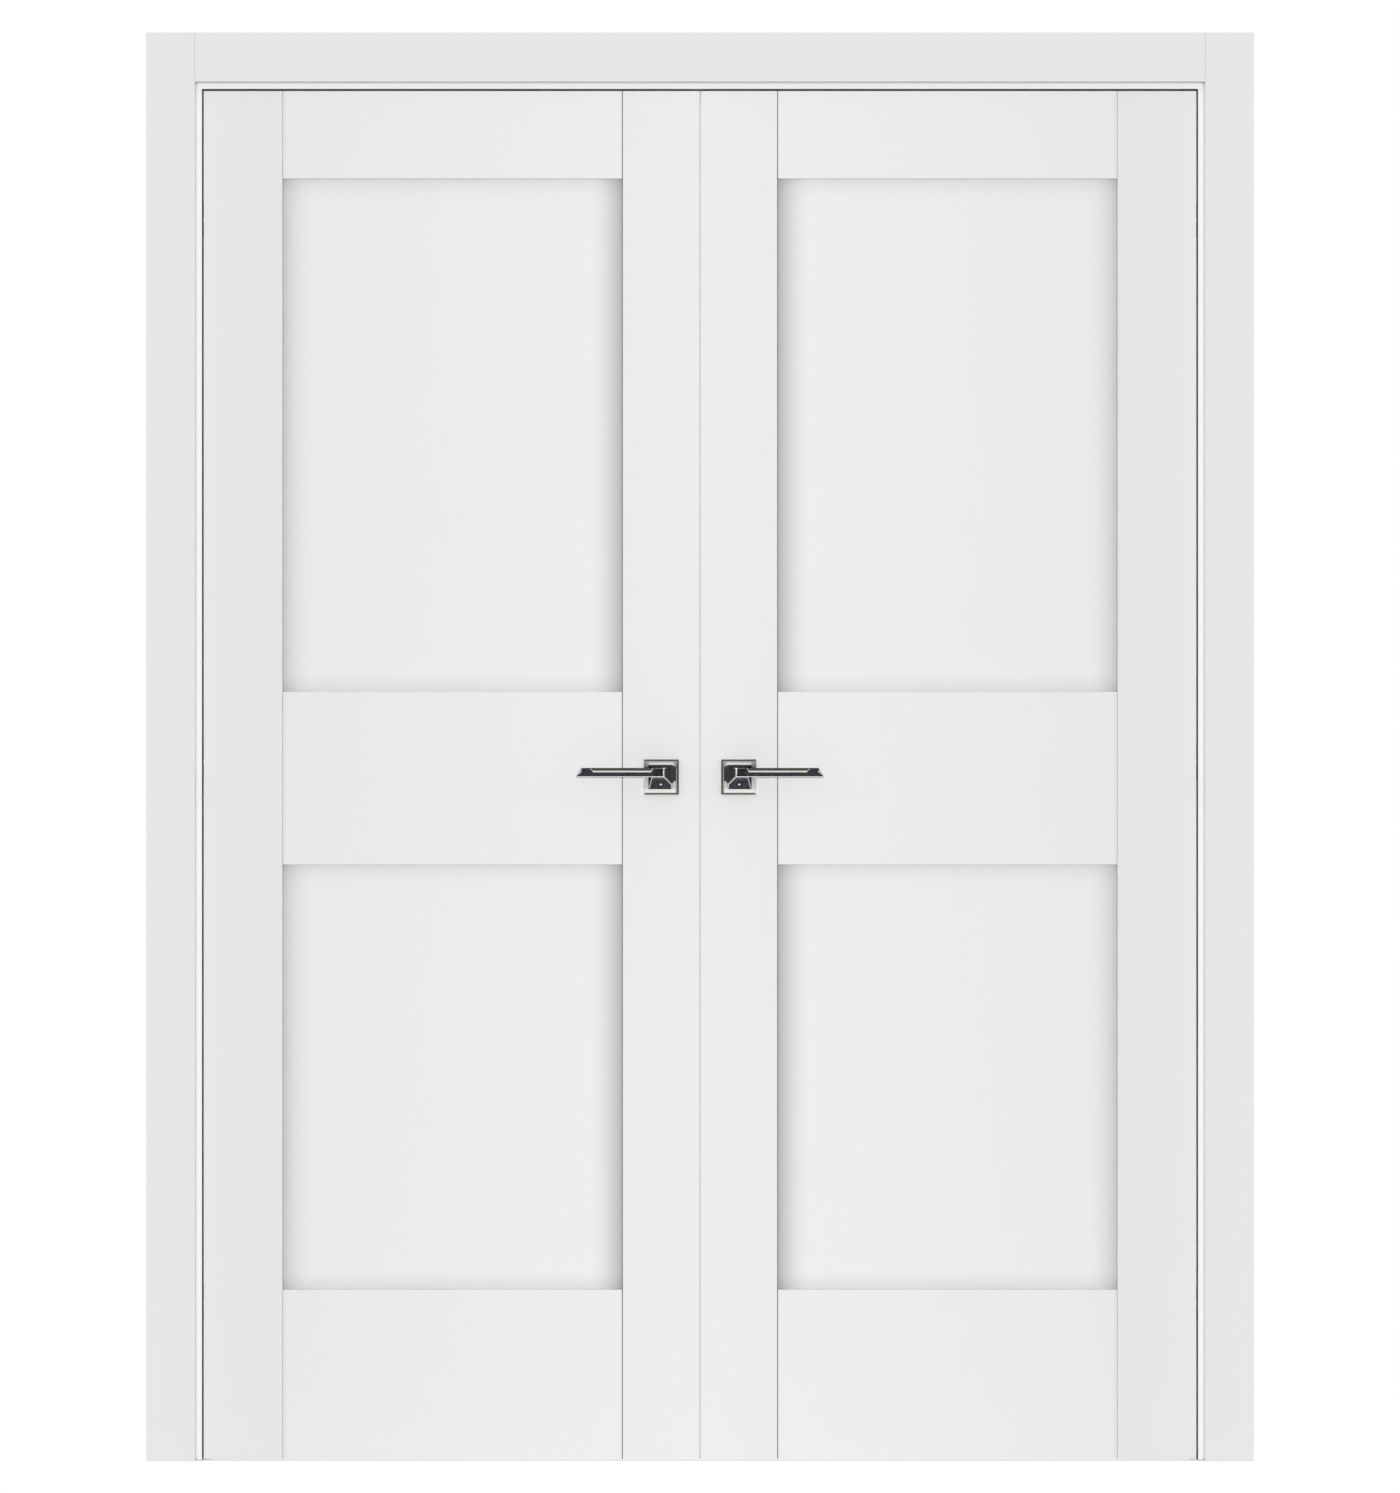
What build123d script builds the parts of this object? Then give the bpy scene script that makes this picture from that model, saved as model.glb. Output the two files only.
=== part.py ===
"""Prehung double door: two stile-and-rail leaves in a cased frame, with lever sets.

Millimetres, +Z up, the front faces -Y. The origin is on the floor, under the meeting
line, midway between the foremost and the rearmost point.
"""
import os

from build123d import *

os.makedirs("parts", exist_ok=True)

# Leaves, two alike
leaf_width = 735.0
leaf_height = 2030.0
leaf_thickness = 40.0
hinge_stile_width = 117.5
meeting_stile_width = 114.3
top_rail_height = 129.8
upper_panel_height = 762.0
lock_rail_height = 256.0
bottom_rail_height = 251.0
panel_thickness = 20.0
groove_depth = 12.0
groove_fit = 0.2
groove_play = 0.6
hinge_stile_arris = 0.6
meeting_stile_arris = 1.4
edge_bevel = 1.4

# Gaps around the leaves
meeting_gap = 3.0
side_gap = 2.5
head_gap = 3.0
floor_clearance = 3.0

# Frame
jamb_thickness = 32.0
jamb_depth = 116.0
jamb_arris = 0.8
stop_lap = 12.0
stop_gap = 3.0
reveal = 10.0
casing_width = 73.0
casing_thickness = 16.0
casing_round = 1.6

# Gaskets in the stop and the seal between the leaves
kerf_width = 3.0
kerf_depth = 7.0
kerf_inset = 4.0
gasket_width = 7.0
gasket_round = 1.2
seal_inset = 4.0
seal_width = 4.0
seal_round = 1.0
strip_fit = 0.2
strip_clearance = 0.3

# Concealed hinges, three for each leaf
hinge_width = 32.0
hinge_plate_height = 120.0
hinge_plate_thickness = 3.0
plate_corner = 3.0
hinge_body_height = 64.0
hinge_depth = 26.0
hinge_top_inset = 190.0
hinge_bottom_inset = 230.0
hinge_screw_inset = 13.0
hinge_screw_length = 24.0
hinge_screw_radius = 2.0
hinge_screw_head_radius = 4.2
arm_radius = 22.0
arm_thickness = 6.0
arm_height = 22.0
arm_spacing = 8.0
arm_half_angle = 68.0
arm_end_angle = 2.0
arm_fit = 0.4
mortise_fit = 0.3
screw_fit = 0.15
screw_sides = 8

# Lever sets
backset = 56.0
lever_height = 1015.0
rose_side = 52.0
rose_thickness = 9.0
rose_wall = 2.5
rose_chamfer = 2.4
rose_base_thickness = 5.0
rose_base_hole_sides = 16
rose_fit = 0.3
rose_bolt_spacing = 38.0
rose_bolt_radius = 2.0
rose_bolt_head_radius = 3.6
rose_bolt_head_thickness = 2.4
lever_reach = 55.0
lever_length = 126.5
lever_running_gap = 0.4
neck_side = 36.0
neck_toe_base = 19.0
neck_heel_base = 22.0
neck_notch_width = 6.2
neck_notch_height = 7.4
neck_notch_slope = 5.4
neck_clip_width = 6.2
neck_clip_height = 4.7
neck_plinth = 1.5
neck_heel = 4.5
neck_toe = 14.0
collar_radius = 9.0
collar_clearance = 0.4
bar_height = 13.5
bar_depth = 12.0
bar_shoulder = 6.5
bar_ridge = 7.1
tip_slant = 8.0
tip_lean = 4.0
inlay_start = 11.0
inlay_end = 108.0
inlay_taper = 3.0
inlay_top_margin = 0.6
inlay_bottom_margin = 1.7
inlay_thickness = 0.8
inlay_fit = 0.1
spindle_side = 8.0
spindle_grip = 14.0
spindle_fit = 0.1
spindle_clearance = 0.5
spindle_bore_radius = 11.0

# Latch in the right leaf and its strike in the left one
latch_case_height = 90.0
latch_case_thickness = 16.0
latch_case_margin = 20.0
forend_height = 160.0
forend_width = 20.0
forend_thickness = 3.0
latch_bolt_height = 24.0
latch_bolt_width = 8.0
latch_bolt_length = 30.0
latch_bolt_round = 2.0
latch_fit = 0.3
latch_travel = 12.0
strike_height = 80.0
strike_thickness = 2.0
strike_room = 2.0

# Flush bolt at the top of the left leaf and its strike in the head jamb
flush_case_height = 180.0
flush_case_depth = 18.0
flush_case_top = 60.0
flush_bolt_radius = 5.0
flush_bolt_axis = 11.0
flush_bolt_set_back = 0.5
flush_travel = 14.0
flush_slot_width = 8.0
flush_thumb_height = 16.0
flush_fit = 0.4
head_strike_length = 60.0
head_strike_slot = 28.0
head_strike_room = 3.0

overrun = 1.0

# Levels and lines that the pieces share; X is written for the right-hand side
leaf_front_y = (lever_reach - jamb_depth - casing_thickness) / 2
leaf_back_y = leaf_front_y + leaf_thickness
leaf_mid_y = leaf_front_y + leaf_thickness / 2
groove_front_y = leaf_mid_y - panel_thickness / 2 - groove_fit
groove_back_y = leaf_mid_y + panel_thickness / 2 + groove_fit
stop_y = leaf_back_y + stop_gap
jamb_back_y = leaf_front_y + jamb_depth

leaf_inner_x = meeting_gap / 2
leaf_outer_x = leaf_inner_x + leaf_width
meeting_joint_x = leaf_inner_x + meeting_stile_width
hinge_joint_x = leaf_outer_x - hinge_stile_width
rail_mid_x = (meeting_joint_x + hinge_joint_x) / 2
frame_inner_x = leaf_outer_x + side_gap
casing_inner_x = frame_inner_x + reveal
casing_outer_x = casing_inner_x + casing_width
edge_plate_x = leaf_inner_x + edge_bevel

leaf_bottom_z = floor_clearance
leaf_top_z = leaf_bottom_z + leaf_height
top_rail_z = leaf_top_z - top_rail_height
lock_rail_top_z = top_rail_z - upper_panel_height
lock_rail_z = lock_rail_top_z - lock_rail_height
bottom_rail_top_z = leaf_bottom_z + bottom_rail_height
head_under_z = leaf_top_z + head_gap
frame_top_z = head_under_z + jamb_thickness
casing_inner_z = head_under_z + reveal
casing_top_z = casing_inner_z + casing_width

tongue_length = groove_depth - groove_play
mitre = Plane(origin=(frame_inner_x, 0, head_under_z), z_dir=(-1, 0, 1))
left_mitre = Plane(origin=(-frame_inner_x, 0, head_under_z), z_dir=(1, 0, 1))
frame_mid = Plane.XZ.offset(-(leaf_front_y + jamb_back_y) / 2)
leaf_mid = Plane.XZ.offset(-leaf_mid_y)


def save(piece, name):
    """Label a finished piece and write it as a STEP file of that name."""
    piece.part.label = name
    export_step(piece.part, f"parts/{name}.step")


def save_pair(right, name):
    """Save a right-hand piece and its mirror image on the left."""
    save(right, f"right_{name}")
    with BuildPart() as left:
        mirror(right.part, about=Plane.YZ)
    save(left, f"left_{name}")


def plate_face(width, height, grow=0):
    """Outline of a flush plate with clipped corners, grown by a clearance."""
    across = width / 2 + grow
    up = height / 2 + grow
    Polygon(
        (across - plate_corner, -up),
        (across, plate_corner - up),
        (across, up - plate_corner),
        (across - plate_corner, up),
        (plate_corner - across, up),
        (-across, up - plate_corner),
        (-across, plate_corner - up),
        (plate_corner - across, -up),
        align=None,
    )


def screw_face(radius, grow=0):
    """Outline of a small screw or of its hole, with few sides."""
    RegularPolygon(radius + grow, screw_sides)


# Jambs: one rebated section, as pairs of (distance into the opening, depth), mitred at the corners
kerf_near = kerf_inset
kerf_far = kerf_inset + kerf_width
jamb_section = [
    (-jamb_thickness, leaf_front_y),
    (-jamb_thickness, jamb_back_y),
    (stop_lap, jamb_back_y),
    (stop_lap, stop_y),
    (kerf_far, stop_y),
    (kerf_far, stop_y + kerf_depth),
    (kerf_near, stop_y + kerf_depth),
    (kerf_near, stop_y),
    (0, stop_y),
    (0, leaf_front_y + jamb_arris),
    (-jamb_arris, leaf_front_y),
]

# Gaskets: a stem in the kerf and a soft bead that meets the leaf's back
bead_mid = kerf_inset + kerf_width / 2
bead_low = bead_mid - gasket_width / 2
bead_high = bead_mid + gasket_width / 2
bead_front_y = leaf_back_y + strip_clearance
gasket_section = [
    (kerf_near + strip_fit, stop_y),
    (kerf_near + strip_fit, stop_y + kerf_depth - strip_fit),
    (kerf_far - strip_fit, stop_y + kerf_depth - strip_fit),
    (kerf_far - strip_fit, stop_y),
    (bead_high, stop_y),
    (bead_high, bead_front_y + gasket_round),
    (bead_high - gasket_round, bead_front_y),
    (bead_low + gasket_round, bead_front_y),
    (bead_low, bead_front_y + gasket_round),
    (bead_low, stop_y),
]


def side_run(section):
    """The section standing on the floor at the right, cut to the mitre."""
    with BuildPart() as run:
        with BuildSketch(Plane.XY):
            Polygon(*[(frame_inner_x - into, depth) for into, depth in section], align=None)
        extrude(amount=frame_top_z)
        split(bisect_by=mitre, keep=Keep.BOTTOM)
    return run.part


def head_run(section):
    """The same section across the top, cut to both mitres."""
    with BuildPart() as run:
        with BuildSketch(Plane.YZ):
            Polygon(*[(depth, head_under_z - into) for into, depth in section], align=None)
        extrude(amount=frame_inner_x + jamb_thickness, both=True)
        split(bisect_by=mitre, keep=Keep.TOP)
        split(bisect_by=left_mitre, keep=Keep.TOP)
    return run.part


with BuildPart() as side_gasket:
    add(side_run(gasket_section))
save_pair(side_gasket, "gasket")

with BuildPart() as head_gasket:
    add(head_run(gasket_section))
save(head_gasket, "head_gasket")

# Concealed hinges turn about a line in the gap, level with the leaf's front face
hinge_axis_x = leaf_outer_x + side_gap / 2
hinge_axis_y = leaf_front_y
hinge_mirror = Plane(origin=(hinge_axis_x, 0, 0), z_dir=(1, 0, 0))
top_hinge_z = leaf_top_z - hinge_top_inset
bottom_hinge_z = leaf_bottom_z + hinge_bottom_inset
hinge_levels = [bottom_hinge_z, (bottom_hinge_z + top_hinge_z) / 2, top_hinge_z]
hinge_screw_offset = hinge_plate_height / 2 - hinge_screw_inset
hinge_screw_head_height = hinge_screw_head_radius - hinge_screw_radius
arm_inner_radius = arm_radius - arm_thickness / 2
arm_outer_radius = arm_radius + arm_thickness / 2
arm_levels = [arm_spacing / 2, -arm_spacing / 2 - arm_height]
behind_angle = 90.0


def hinge_face(level, lift=0):
    """Plane on the jamb's inner face at a hinge, looking into the jamb."""
    return Plane(origin=(frame_inner_x - lift, leaf_mid_y, level), x_dir=(0, 1, 0), z_dir=(1, 0, 0))


def crescents(first_angle, last_angle, grow):
    """Blocks curved about the hinge axis, two at each hinge, grown by a clearance."""
    axis = (hinge_axis_x, hinge_axis_y)
    sweep_angle = last_angle - first_angle
    with BuildPart() as blocks:
        for level in hinge_levels:
            for arm_level in arm_levels:
                with BuildSketch(Plane.XY.offset(level + arm_level - grow)):
                    with BuildLine():
                        inner = CenterArc(axis, arm_inner_radius - grow, first_angle, sweep_angle)
                        outer = CenterArc(axis, arm_outer_radius + grow, first_angle, sweep_angle)
                        Line(inner @ 0, outer @ 0)
                        Line(inner @ 1, outer @ 1)
                    make_face()
                extrude(amount=arm_height + 2 * grow)
    return blocks.part


with BuildPart() as hinge_mortises:
    for level in hinge_levels:
        with BuildSketch(hinge_face(level, overrun)):
            plate_face(hinge_width, hinge_plate_height, mortise_fit)
        extrude(amount=hinge_plate_thickness + overrun)
        with BuildSketch(hinge_face(level)):
            Rectangle(hinge_width + 2 * mortise_fit, hinge_body_height + 2 * mortise_fit)
        extrude(amount=hinge_depth + mortise_fit)
        with BuildSketch(hinge_face(level)):
            with GridLocations(0, 2 * hinge_screw_offset, 1, 2):
                screw_face(hinge_screw_radius, screw_fit)
        extrude(amount=hinge_screw_length + screw_fit)

with BuildPart() as frame_hinge_cups:
    for level in hinge_levels:
        with BuildSketch(hinge_face(level)):
            plate_face(hinge_width, hinge_plate_height)
        extrude(amount=hinge_plate_thickness)
        with BuildSketch(hinge_face(level)):
            Rectangle(hinge_width, hinge_body_height)
        extrude(amount=hinge_depth)
        for side in (-1, 1):
            with BuildSketch(hinge_face(level + side * hinge_screw_offset)):
                screw_face(hinge_screw_head_radius, screw_fit)
            with BuildSketch(hinge_face(level + side * hinge_screw_offset, -hinge_screw_head_height)):
                screw_face(hinge_screw_radius, screw_fit)
            loft(ruled=True, mode=Mode.SUBTRACT)
            with BuildSketch(hinge_face(level + side * hinge_screw_offset)):
                screw_face(hinge_screw_radius, screw_fit)
            extrude(amount=hinge_plate_thickness, mode=Mode.SUBTRACT)
    add(
        crescents(behind_angle - arm_half_angle - arm_end_angle, behind_angle, arm_fit),
        mode=Mode.SUBTRACT,
    )
save_pair(frame_hinge_cups, "frame_hinge_cups")

with BuildPart() as leaf_hinge_cups:
    mirror(frame_hinge_cups.part, about=hinge_mirror)
save_pair(leaf_hinge_cups, "leaf_hinge_cups")

with BuildPart() as frame_hinge_screws:
    for level in hinge_levels:
        for side in (-1, 1):
            with BuildSketch(hinge_face(level + side * hinge_screw_offset)):
                screw_face(hinge_screw_head_radius)
            with BuildSketch(hinge_face(level + side * hinge_screw_offset, -hinge_screw_head_height)):
                screw_face(hinge_screw_radius)
            loft(ruled=True)
            with BuildSketch(hinge_face(level + side * hinge_screw_offset, -hinge_screw_head_height)):
                screw_face(hinge_screw_radius)
            extrude(amount=hinge_screw_length - hinge_screw_head_height)
save_pair(frame_hinge_screws, "frame_hinge_screws")

with BuildPart() as leaf_hinge_screws:
    mirror(frame_hinge_screws.part, about=hinge_mirror)
save_pair(leaf_hinge_screws, "leaf_hinge_screws")

with BuildPart() as hinge_arms:
    add(crescents(behind_angle - arm_half_angle, behind_angle + arm_half_angle, 0))
save_pair(hinge_arms, "hinge_arms")

with BuildPart() as side_jamb:
    add(side_run(jamb_section))
    add(hinge_mortises.part, mode=Mode.SUBTRACT)
save_pair(side_jamb, "jamb")

# Casings: flat boards with eased front edges, the same on the front and the back
with BuildPart() as casing_leg:
    with BuildSketch(Plane.XZ.offset(-leaf_front_y)):
        with Locations(((casing_inner_x + casing_outer_x) / 2, casing_top_z / 2)):
            Rectangle(casing_width, casing_top_z)
    extrude(amount=casing_thickness)
    fillet(casing_leg.faces().sort_by(Axis.Y)[0].edges().filter_by(Axis.Z), casing_round)
save_pair(casing_leg, "front_casing")

with BuildPart() as back_casing_leg:
    mirror(casing_leg.part, about=frame_mid)
save_pair(back_casing_leg, "back_casing")

with BuildPart() as casing_head:
    with BuildSketch(Plane.XZ.offset(-leaf_front_y)):
        with Locations((0, (casing_inner_z + casing_top_z) / 2)):
            Rectangle(2 * casing_inner_x, casing_width)
    extrude(amount=casing_thickness)
    fillet(casing_head.faces().sort_by(Axis.Y)[0].edges().filter_by(Axis.X), casing_round)
save(casing_head, "front_head_casing")

with BuildPart() as back_casing_head:
    mirror(casing_head.part, about=frame_mid)
save(back_casing_head, "back_head_casing")

# Hinge stile: a board with a groove for the panels and the rail tongues
with BuildPart() as hinge_stile:
    with BuildSketch(Plane.XY.offset(leaf_bottom_z)):
        Polygon(
            (hinge_joint_x + hinge_stile_arris, leaf_front_y),
            (leaf_outer_x - hinge_stile_arris, leaf_front_y),
            (leaf_outer_x, leaf_front_y + hinge_stile_arris),
            (leaf_outer_x, leaf_back_y - hinge_stile_arris),
            (leaf_outer_x - hinge_stile_arris, leaf_back_y),
            (hinge_joint_x + hinge_stile_arris, leaf_back_y),
            (hinge_joint_x, leaf_back_y - hinge_stile_arris),
            (hinge_joint_x, groove_back_y),
            (hinge_joint_x + groove_depth, groove_back_y),
            (hinge_joint_x + groove_depth, groove_front_y),
            (hinge_joint_x, groove_front_y),
            (hinge_joint_x, leaf_front_y + hinge_stile_arris),
            align=None,
        )
    extrude(amount=leaf_height)
    mirror(hinge_mortises.part, about=hinge_mirror, mode=Mode.SUBTRACT)
save_pair(hinge_stile, "hinge_stile")


def rail(low, high, groove_below, groove_above):
    """A rail between the stiles, with a tongue at each end and grooves for the panels it meets."""
    tongue_low = low + (groove_depth if groove_below else 0)
    tongue_high = high - (groove_depth if groove_above else 0)
    with BuildPart() as board:
        with BuildSketch(Plane.YZ.offset(meeting_joint_x)):
            with Locations((leaf_mid_y, (low + high) / 2)):
                Rectangle(leaf_thickness, high - low)
            for level, grooved in ((low, groove_below), (high, groove_above)):
                if grooved:
                    with Locations((leaf_mid_y, level)):
                        Rectangle(groove_back_y - groove_front_y, 2 * groove_depth, mode=Mode.SUBTRACT)
        extrude(amount=hinge_joint_x - meeting_joint_x)
        with BuildSketch(Plane.YZ.offset(meeting_joint_x - tongue_length)):
            with Locations((leaf_mid_y, (tongue_low + tongue_high) / 2)):
                Rectangle(panel_thickness, tongue_high - tongue_low)
        extrude(amount=hinge_joint_x - meeting_joint_x + 2 * tongue_length)
    return board


save_pair(rail(top_rail_z, leaf_top_z, True, False), "top_rail")
save_pair(rail(lock_rail_z, lock_rail_top_z, True, True), "lock_rail")
save_pair(rail(leaf_bottom_z, bottom_rail_top_z, False, True), "bottom_rail")


def panel(low, high):
    """A flat panel that floats in the grooves round an opening of the leaf."""
    with BuildPart() as sheet:
        with BuildSketch(leaf_mid):
            with Locations((rail_mid_x, (low + high) / 2)):
                Rectangle(hinge_joint_x - meeting_joint_x + 2 * tongue_length, high - low + 2 * tongue_length)
        extrude(amount=panel_thickness / 2, both=True)
    return sheet


save_pair(panel(lock_rail_top_z, top_rail_z), "upper_panel")
save_pair(panel(bottom_rail_top_z, lock_rail_z), "lower_panel")

# Lever sets, written for the front of the right leaf; the back ones mirror about the leaf's middle
rose_x = leaf_inner_x + backset
rose_front_y = leaf_front_y - rose_thickness
neck_y = rose_front_y - lever_running_gap
bar_back_y = leaf_front_y - lever_reach + bar_depth
base_side = rose_side - 2 * rose_wall - 2 * rose_fit
spindle_half_length = leaf_thickness / 2 + rose_thickness + lever_running_gap + spindle_grip
spindle_hole_radius = spindle_side / 2 ** 0.5 + spindle_clearance


def facing_front(depth, across=0, up=0):
    """Plane seen from the front at that depth, centred on the rose."""
    return Plane(origin=(rose_x + across, depth, lever_height + up), x_dir=(1, 0, 0), z_dir=(0, -1, 0))


with BuildPart() as front_rose:
    with BuildSketch(facing_front(leaf_front_y)):
        Rectangle(rose_side, rose_side)
    extrude(amount=rose_thickness)
    chamfer(front_rose.faces().sort_by(Axis.Y)[0].edges(), rose_chamfer)
    with BuildSketch(facing_front(leaf_front_y)):
        Rectangle(rose_side - 2 * rose_wall, rose_side - 2 * rose_wall)
    extrude(amount=rose_base_thickness + rose_fit, mode=Mode.SUBTRACT)
    with BuildSketch(facing_front(leaf_front_y)):
        Circle(collar_radius + collar_clearance)
    extrude(amount=rose_thickness, mode=Mode.SUBTRACT)
save_pair(front_rose, "front_rose")

with BuildPart() as back_rose:
    mirror(front_rose.part, about=leaf_mid)
save_pair(back_rose, "back_rose")

with BuildPart() as rose_bases:
    with BuildSketch(facing_front(leaf_front_y)):
        Rectangle(base_side, base_side)
        RegularPolygon(
            collar_radius + collar_clearance,
            rose_base_hole_sides,
            major_radius=False,
            mode=Mode.SUBTRACT,
        )
        with GridLocations(0, rose_bolt_spacing, 1, 2):
            RegularPolygon(rose_bolt_radius + screw_fit, screw_sides, mode=Mode.SUBTRACT)
    extrude(amount=rose_base_thickness)
    mirror(rose_bases.part, about=leaf_mid)
    with BuildSketch(facing_front(leaf_front_y - rose_base_thickness + rose_bolt_head_thickness)):
        with GridLocations(0, rose_bolt_spacing, 1, 2):
            screw_face(rose_bolt_head_radius, screw_fit)
    extrude(amount=rose_bolt_head_thickness, mode=Mode.SUBTRACT)
save_pair(rose_bases, "rose_bases")

with BuildPart() as rose_bolts:
    with BuildSketch(facing_front(leaf_front_y - rose_base_thickness + rose_bolt_head_thickness)):
        with GridLocations(0, rose_bolt_spacing, 1, 2):
            screw_face(rose_bolt_head_radius)
    extrude(amount=rose_bolt_head_thickness)
    with BuildSketch(facing_front(leaf_back_y + rose_base_thickness)):
        with GridLocations(0, rose_bolt_spacing, 1, 2):
            screw_face(rose_bolt_radius)
    extrude(amount=leaf_thickness + 2 * rose_base_thickness - rose_bolt_head_thickness)
save_pair(rose_bolts, "rose_bolts")

with BuildPart() as spindle:
    with BuildSketch(facing_front(leaf_mid_y)):
        Rectangle(spindle_side, spindle_side)
    extrude(amount=spindle_half_length, both=True)
save_pair(spindle, "spindle")

# The lever's upper facet runs from its shoulder at the top to the ridge along its front
facet_rise = bar_height - bar_ridge
facet_fall = bar_depth - bar_shoulder
facet_width = (facet_rise ** 2 + facet_fall ** 2) ** 0.5
facet = Plane(
    origin=(rose_x, bar_back_y - (bar_shoulder + bar_depth) / 2, lever_height + (bar_height + bar_ridge) / 2),
    x_dir=(1, 0, 0),
    z_dir=(0, -facet_rise, facet_fall),
)


bar_end = Plane(
    origin=(rose_x - neck_heel, bar_back_y, lever_height),
    x_dir=(0, 0, 1),
    z_dir=(1, 0, 0),
)


def inlay_outline(fit):
    """Trapezoid on the upper facet, drawn in by a fit all round."""
    top = facet_width / 2 - inlay_top_margin - fit
    bottom = inlay_bottom_margin - facet_width / 2 + fit
    return [
        (inlay_start + fit, top),
        (inlay_end - fit, top),
        (inlay_end - inlay_taper - fit, bottom),
        (inlay_start + inlay_taper + fit, bottom),
    ]


# The neck is a skewed pyramid: each facet leans from an edge of its plinth to the back of the bar
neck_half = neck_side / 2
neck_rise = neck_y - neck_plinth - bar_back_y
neck_facets = [
    ((neck_toe_base, 0), (neck_rise, neck_toe - neck_toe_base, 0)),
    ((-neck_heel_base, 0), (-neck_rise, neck_heel - neck_heel_base, 0)),
    ((0, neck_half), (0, bar_height - neck_half, neck_rise)),
    ((0, -neck_half), (0, -neck_half, -neck_rise)),
]

# Its plinth has a notch at the lower heel corner and a clip at the upper one
neck_outline = [
    (neck_toe_base, neck_half),
    (neck_clip_width - neck_heel_base, neck_half),
    (-neck_heel_base, neck_half - neck_clip_height),
    (-neck_heel_base, neck_notch_height + neck_notch_slope - neck_half),
    (neck_notch_width - neck_heel_base, neck_notch_height - neck_half),
    (neck_notch_width - neck_heel_base, -neck_half),
    (neck_toe_base, -neck_half),
]

with BuildPart() as front_lever:
    with BuildSketch(facing_front(neck_y)):
        Polygon(*neck_outline, align=None)
    extrude(amount=neck_plinth + neck_rise)
    for (across, up), outward in neck_facets:
        edge_point = (rose_x + across, neck_y - neck_plinth, lever_height + up)
        split(bisect_by=Plane(origin=edge_point, z_dir=outward), keep=Keep.BOTTOM)
    with BuildSketch(bar_end):
        Polygon(
            (0, 0),
            (bar_height, 0),
            (bar_height, bar_shoulder),
            (bar_ridge, bar_depth),
            (0, bar_shoulder),
            align=None,
        )
    extrude(amount=neck_heel + lever_length)
    for depth, lean in ((0, 0), (bar_shoulder, tip_lean / facet_fall)):
        tip_corner = (rose_x + lever_length, bar_back_y - depth, lever_height)
        tip_cut = Plane(origin=tip_corner, z_dir=(bar_height, -bar_height * lean, tip_slant))
        split(bisect_by=tip_cut, keep=Keep.BOTTOM)
    with BuildSketch(facet):
        Polygon(*inlay_outline(0), align=None)
    extrude(amount=-inlay_thickness, mode=Mode.SUBTRACT)
    with BuildSketch(facing_front(neck_y)):
        Circle(collar_radius)
    extrude(amount=-(rose_thickness + lever_running_gap - rose_fit))
    with BuildSketch(facing_front(leaf_front_y)):
        Rectangle(spindle_side + 2 * spindle_fit, spindle_side + 2 * spindle_fit)
    extrude(amount=rose_thickness + lever_running_gap + spindle_grip + spindle_fit, mode=Mode.SUBTRACT)
save_pair(front_lever, "front_lever")

with BuildPart() as back_lever:
    mirror(front_lever.part, about=leaf_mid)
save_pair(back_lever, "back_lever")

with BuildPart() as lever_inlays:
    with BuildSketch(facet.offset(-inlay_thickness)):
        Polygon(*inlay_outline(inlay_fit), align=None)
    extrude(amount=inlay_thickness)
    mirror(lever_inlays.part, about=leaf_mid)
save_pair(lever_inlays, "lever_inlays")

# Meeting stile: grooved like the hinge stile, its free edge bevelled so that it clears the other leaf
with BuildPart() as meeting_stile:
    with BuildSketch(Plane.XY.offset(leaf_bottom_z)):
        Polygon(
            (leaf_inner_x, leaf_front_y),
            (meeting_joint_x - meeting_stile_arris, leaf_front_y),
            (meeting_joint_x, leaf_front_y + meeting_stile_arris),
            (meeting_joint_x, groove_front_y),
            (meeting_joint_x - groove_depth, groove_front_y),
            (meeting_joint_x - groove_depth, groove_back_y),
            (meeting_joint_x, groove_back_y),
            (meeting_joint_x, leaf_back_y - meeting_stile_arris),
            (meeting_joint_x - meeting_stile_arris, leaf_back_y),
            (edge_plate_x, leaf_back_y),
            align=None,
        )
    extrude(amount=leaf_height)
    with BuildSketch(facing_front(leaf_back_y)):
        Circle(spindle_bore_radius)
        with GridLocations(0, rose_bolt_spacing, 1, 2):
            screw_face(rose_bolt_radius, screw_fit)
    extrude(amount=leaf_thickness, mode=Mode.SUBTRACT)


def edge_plane(depth=0, level=lever_height):
    """Plane in the right leaf's meeting edge, looking into the leaf."""
    return Plane(origin=(edge_plate_x + depth, leaf_mid_y, level), x_dir=(0, 1, 0), z_dir=(1, 0, 0))


# Latch: a case with its forend, and a bolt that rests withdrawn
latch_case_depth = backset + latch_case_margin - edge_bevel

with BuildPart() as latch_case:
    with BuildSketch(edge_plane()):
        plate_face(forend_width, forend_height)
    extrude(amount=forend_thickness)
    with BuildSketch(edge_plane(forend_thickness)):
        Rectangle(latch_case_thickness, latch_case_height)
    extrude(amount=latch_case_depth - forend_thickness)
    with BuildSketch(edge_plane()):
        Rectangle(latch_bolt_width + 2 * latch_fit, latch_bolt_height + 2 * latch_fit)
    extrude(amount=latch_bolt_length + latch_fit, mode=Mode.SUBTRACT)
    with BuildSketch(facing_front(leaf_back_y)):
        Circle(spindle_hole_radius)
        with GridLocations(0, rose_bolt_spacing, 1, 2):
            screw_face(rose_bolt_radius, mortise_fit)
    extrude(amount=leaf_thickness, mode=Mode.SUBTRACT)
save(latch_case, "latch_case")

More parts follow.
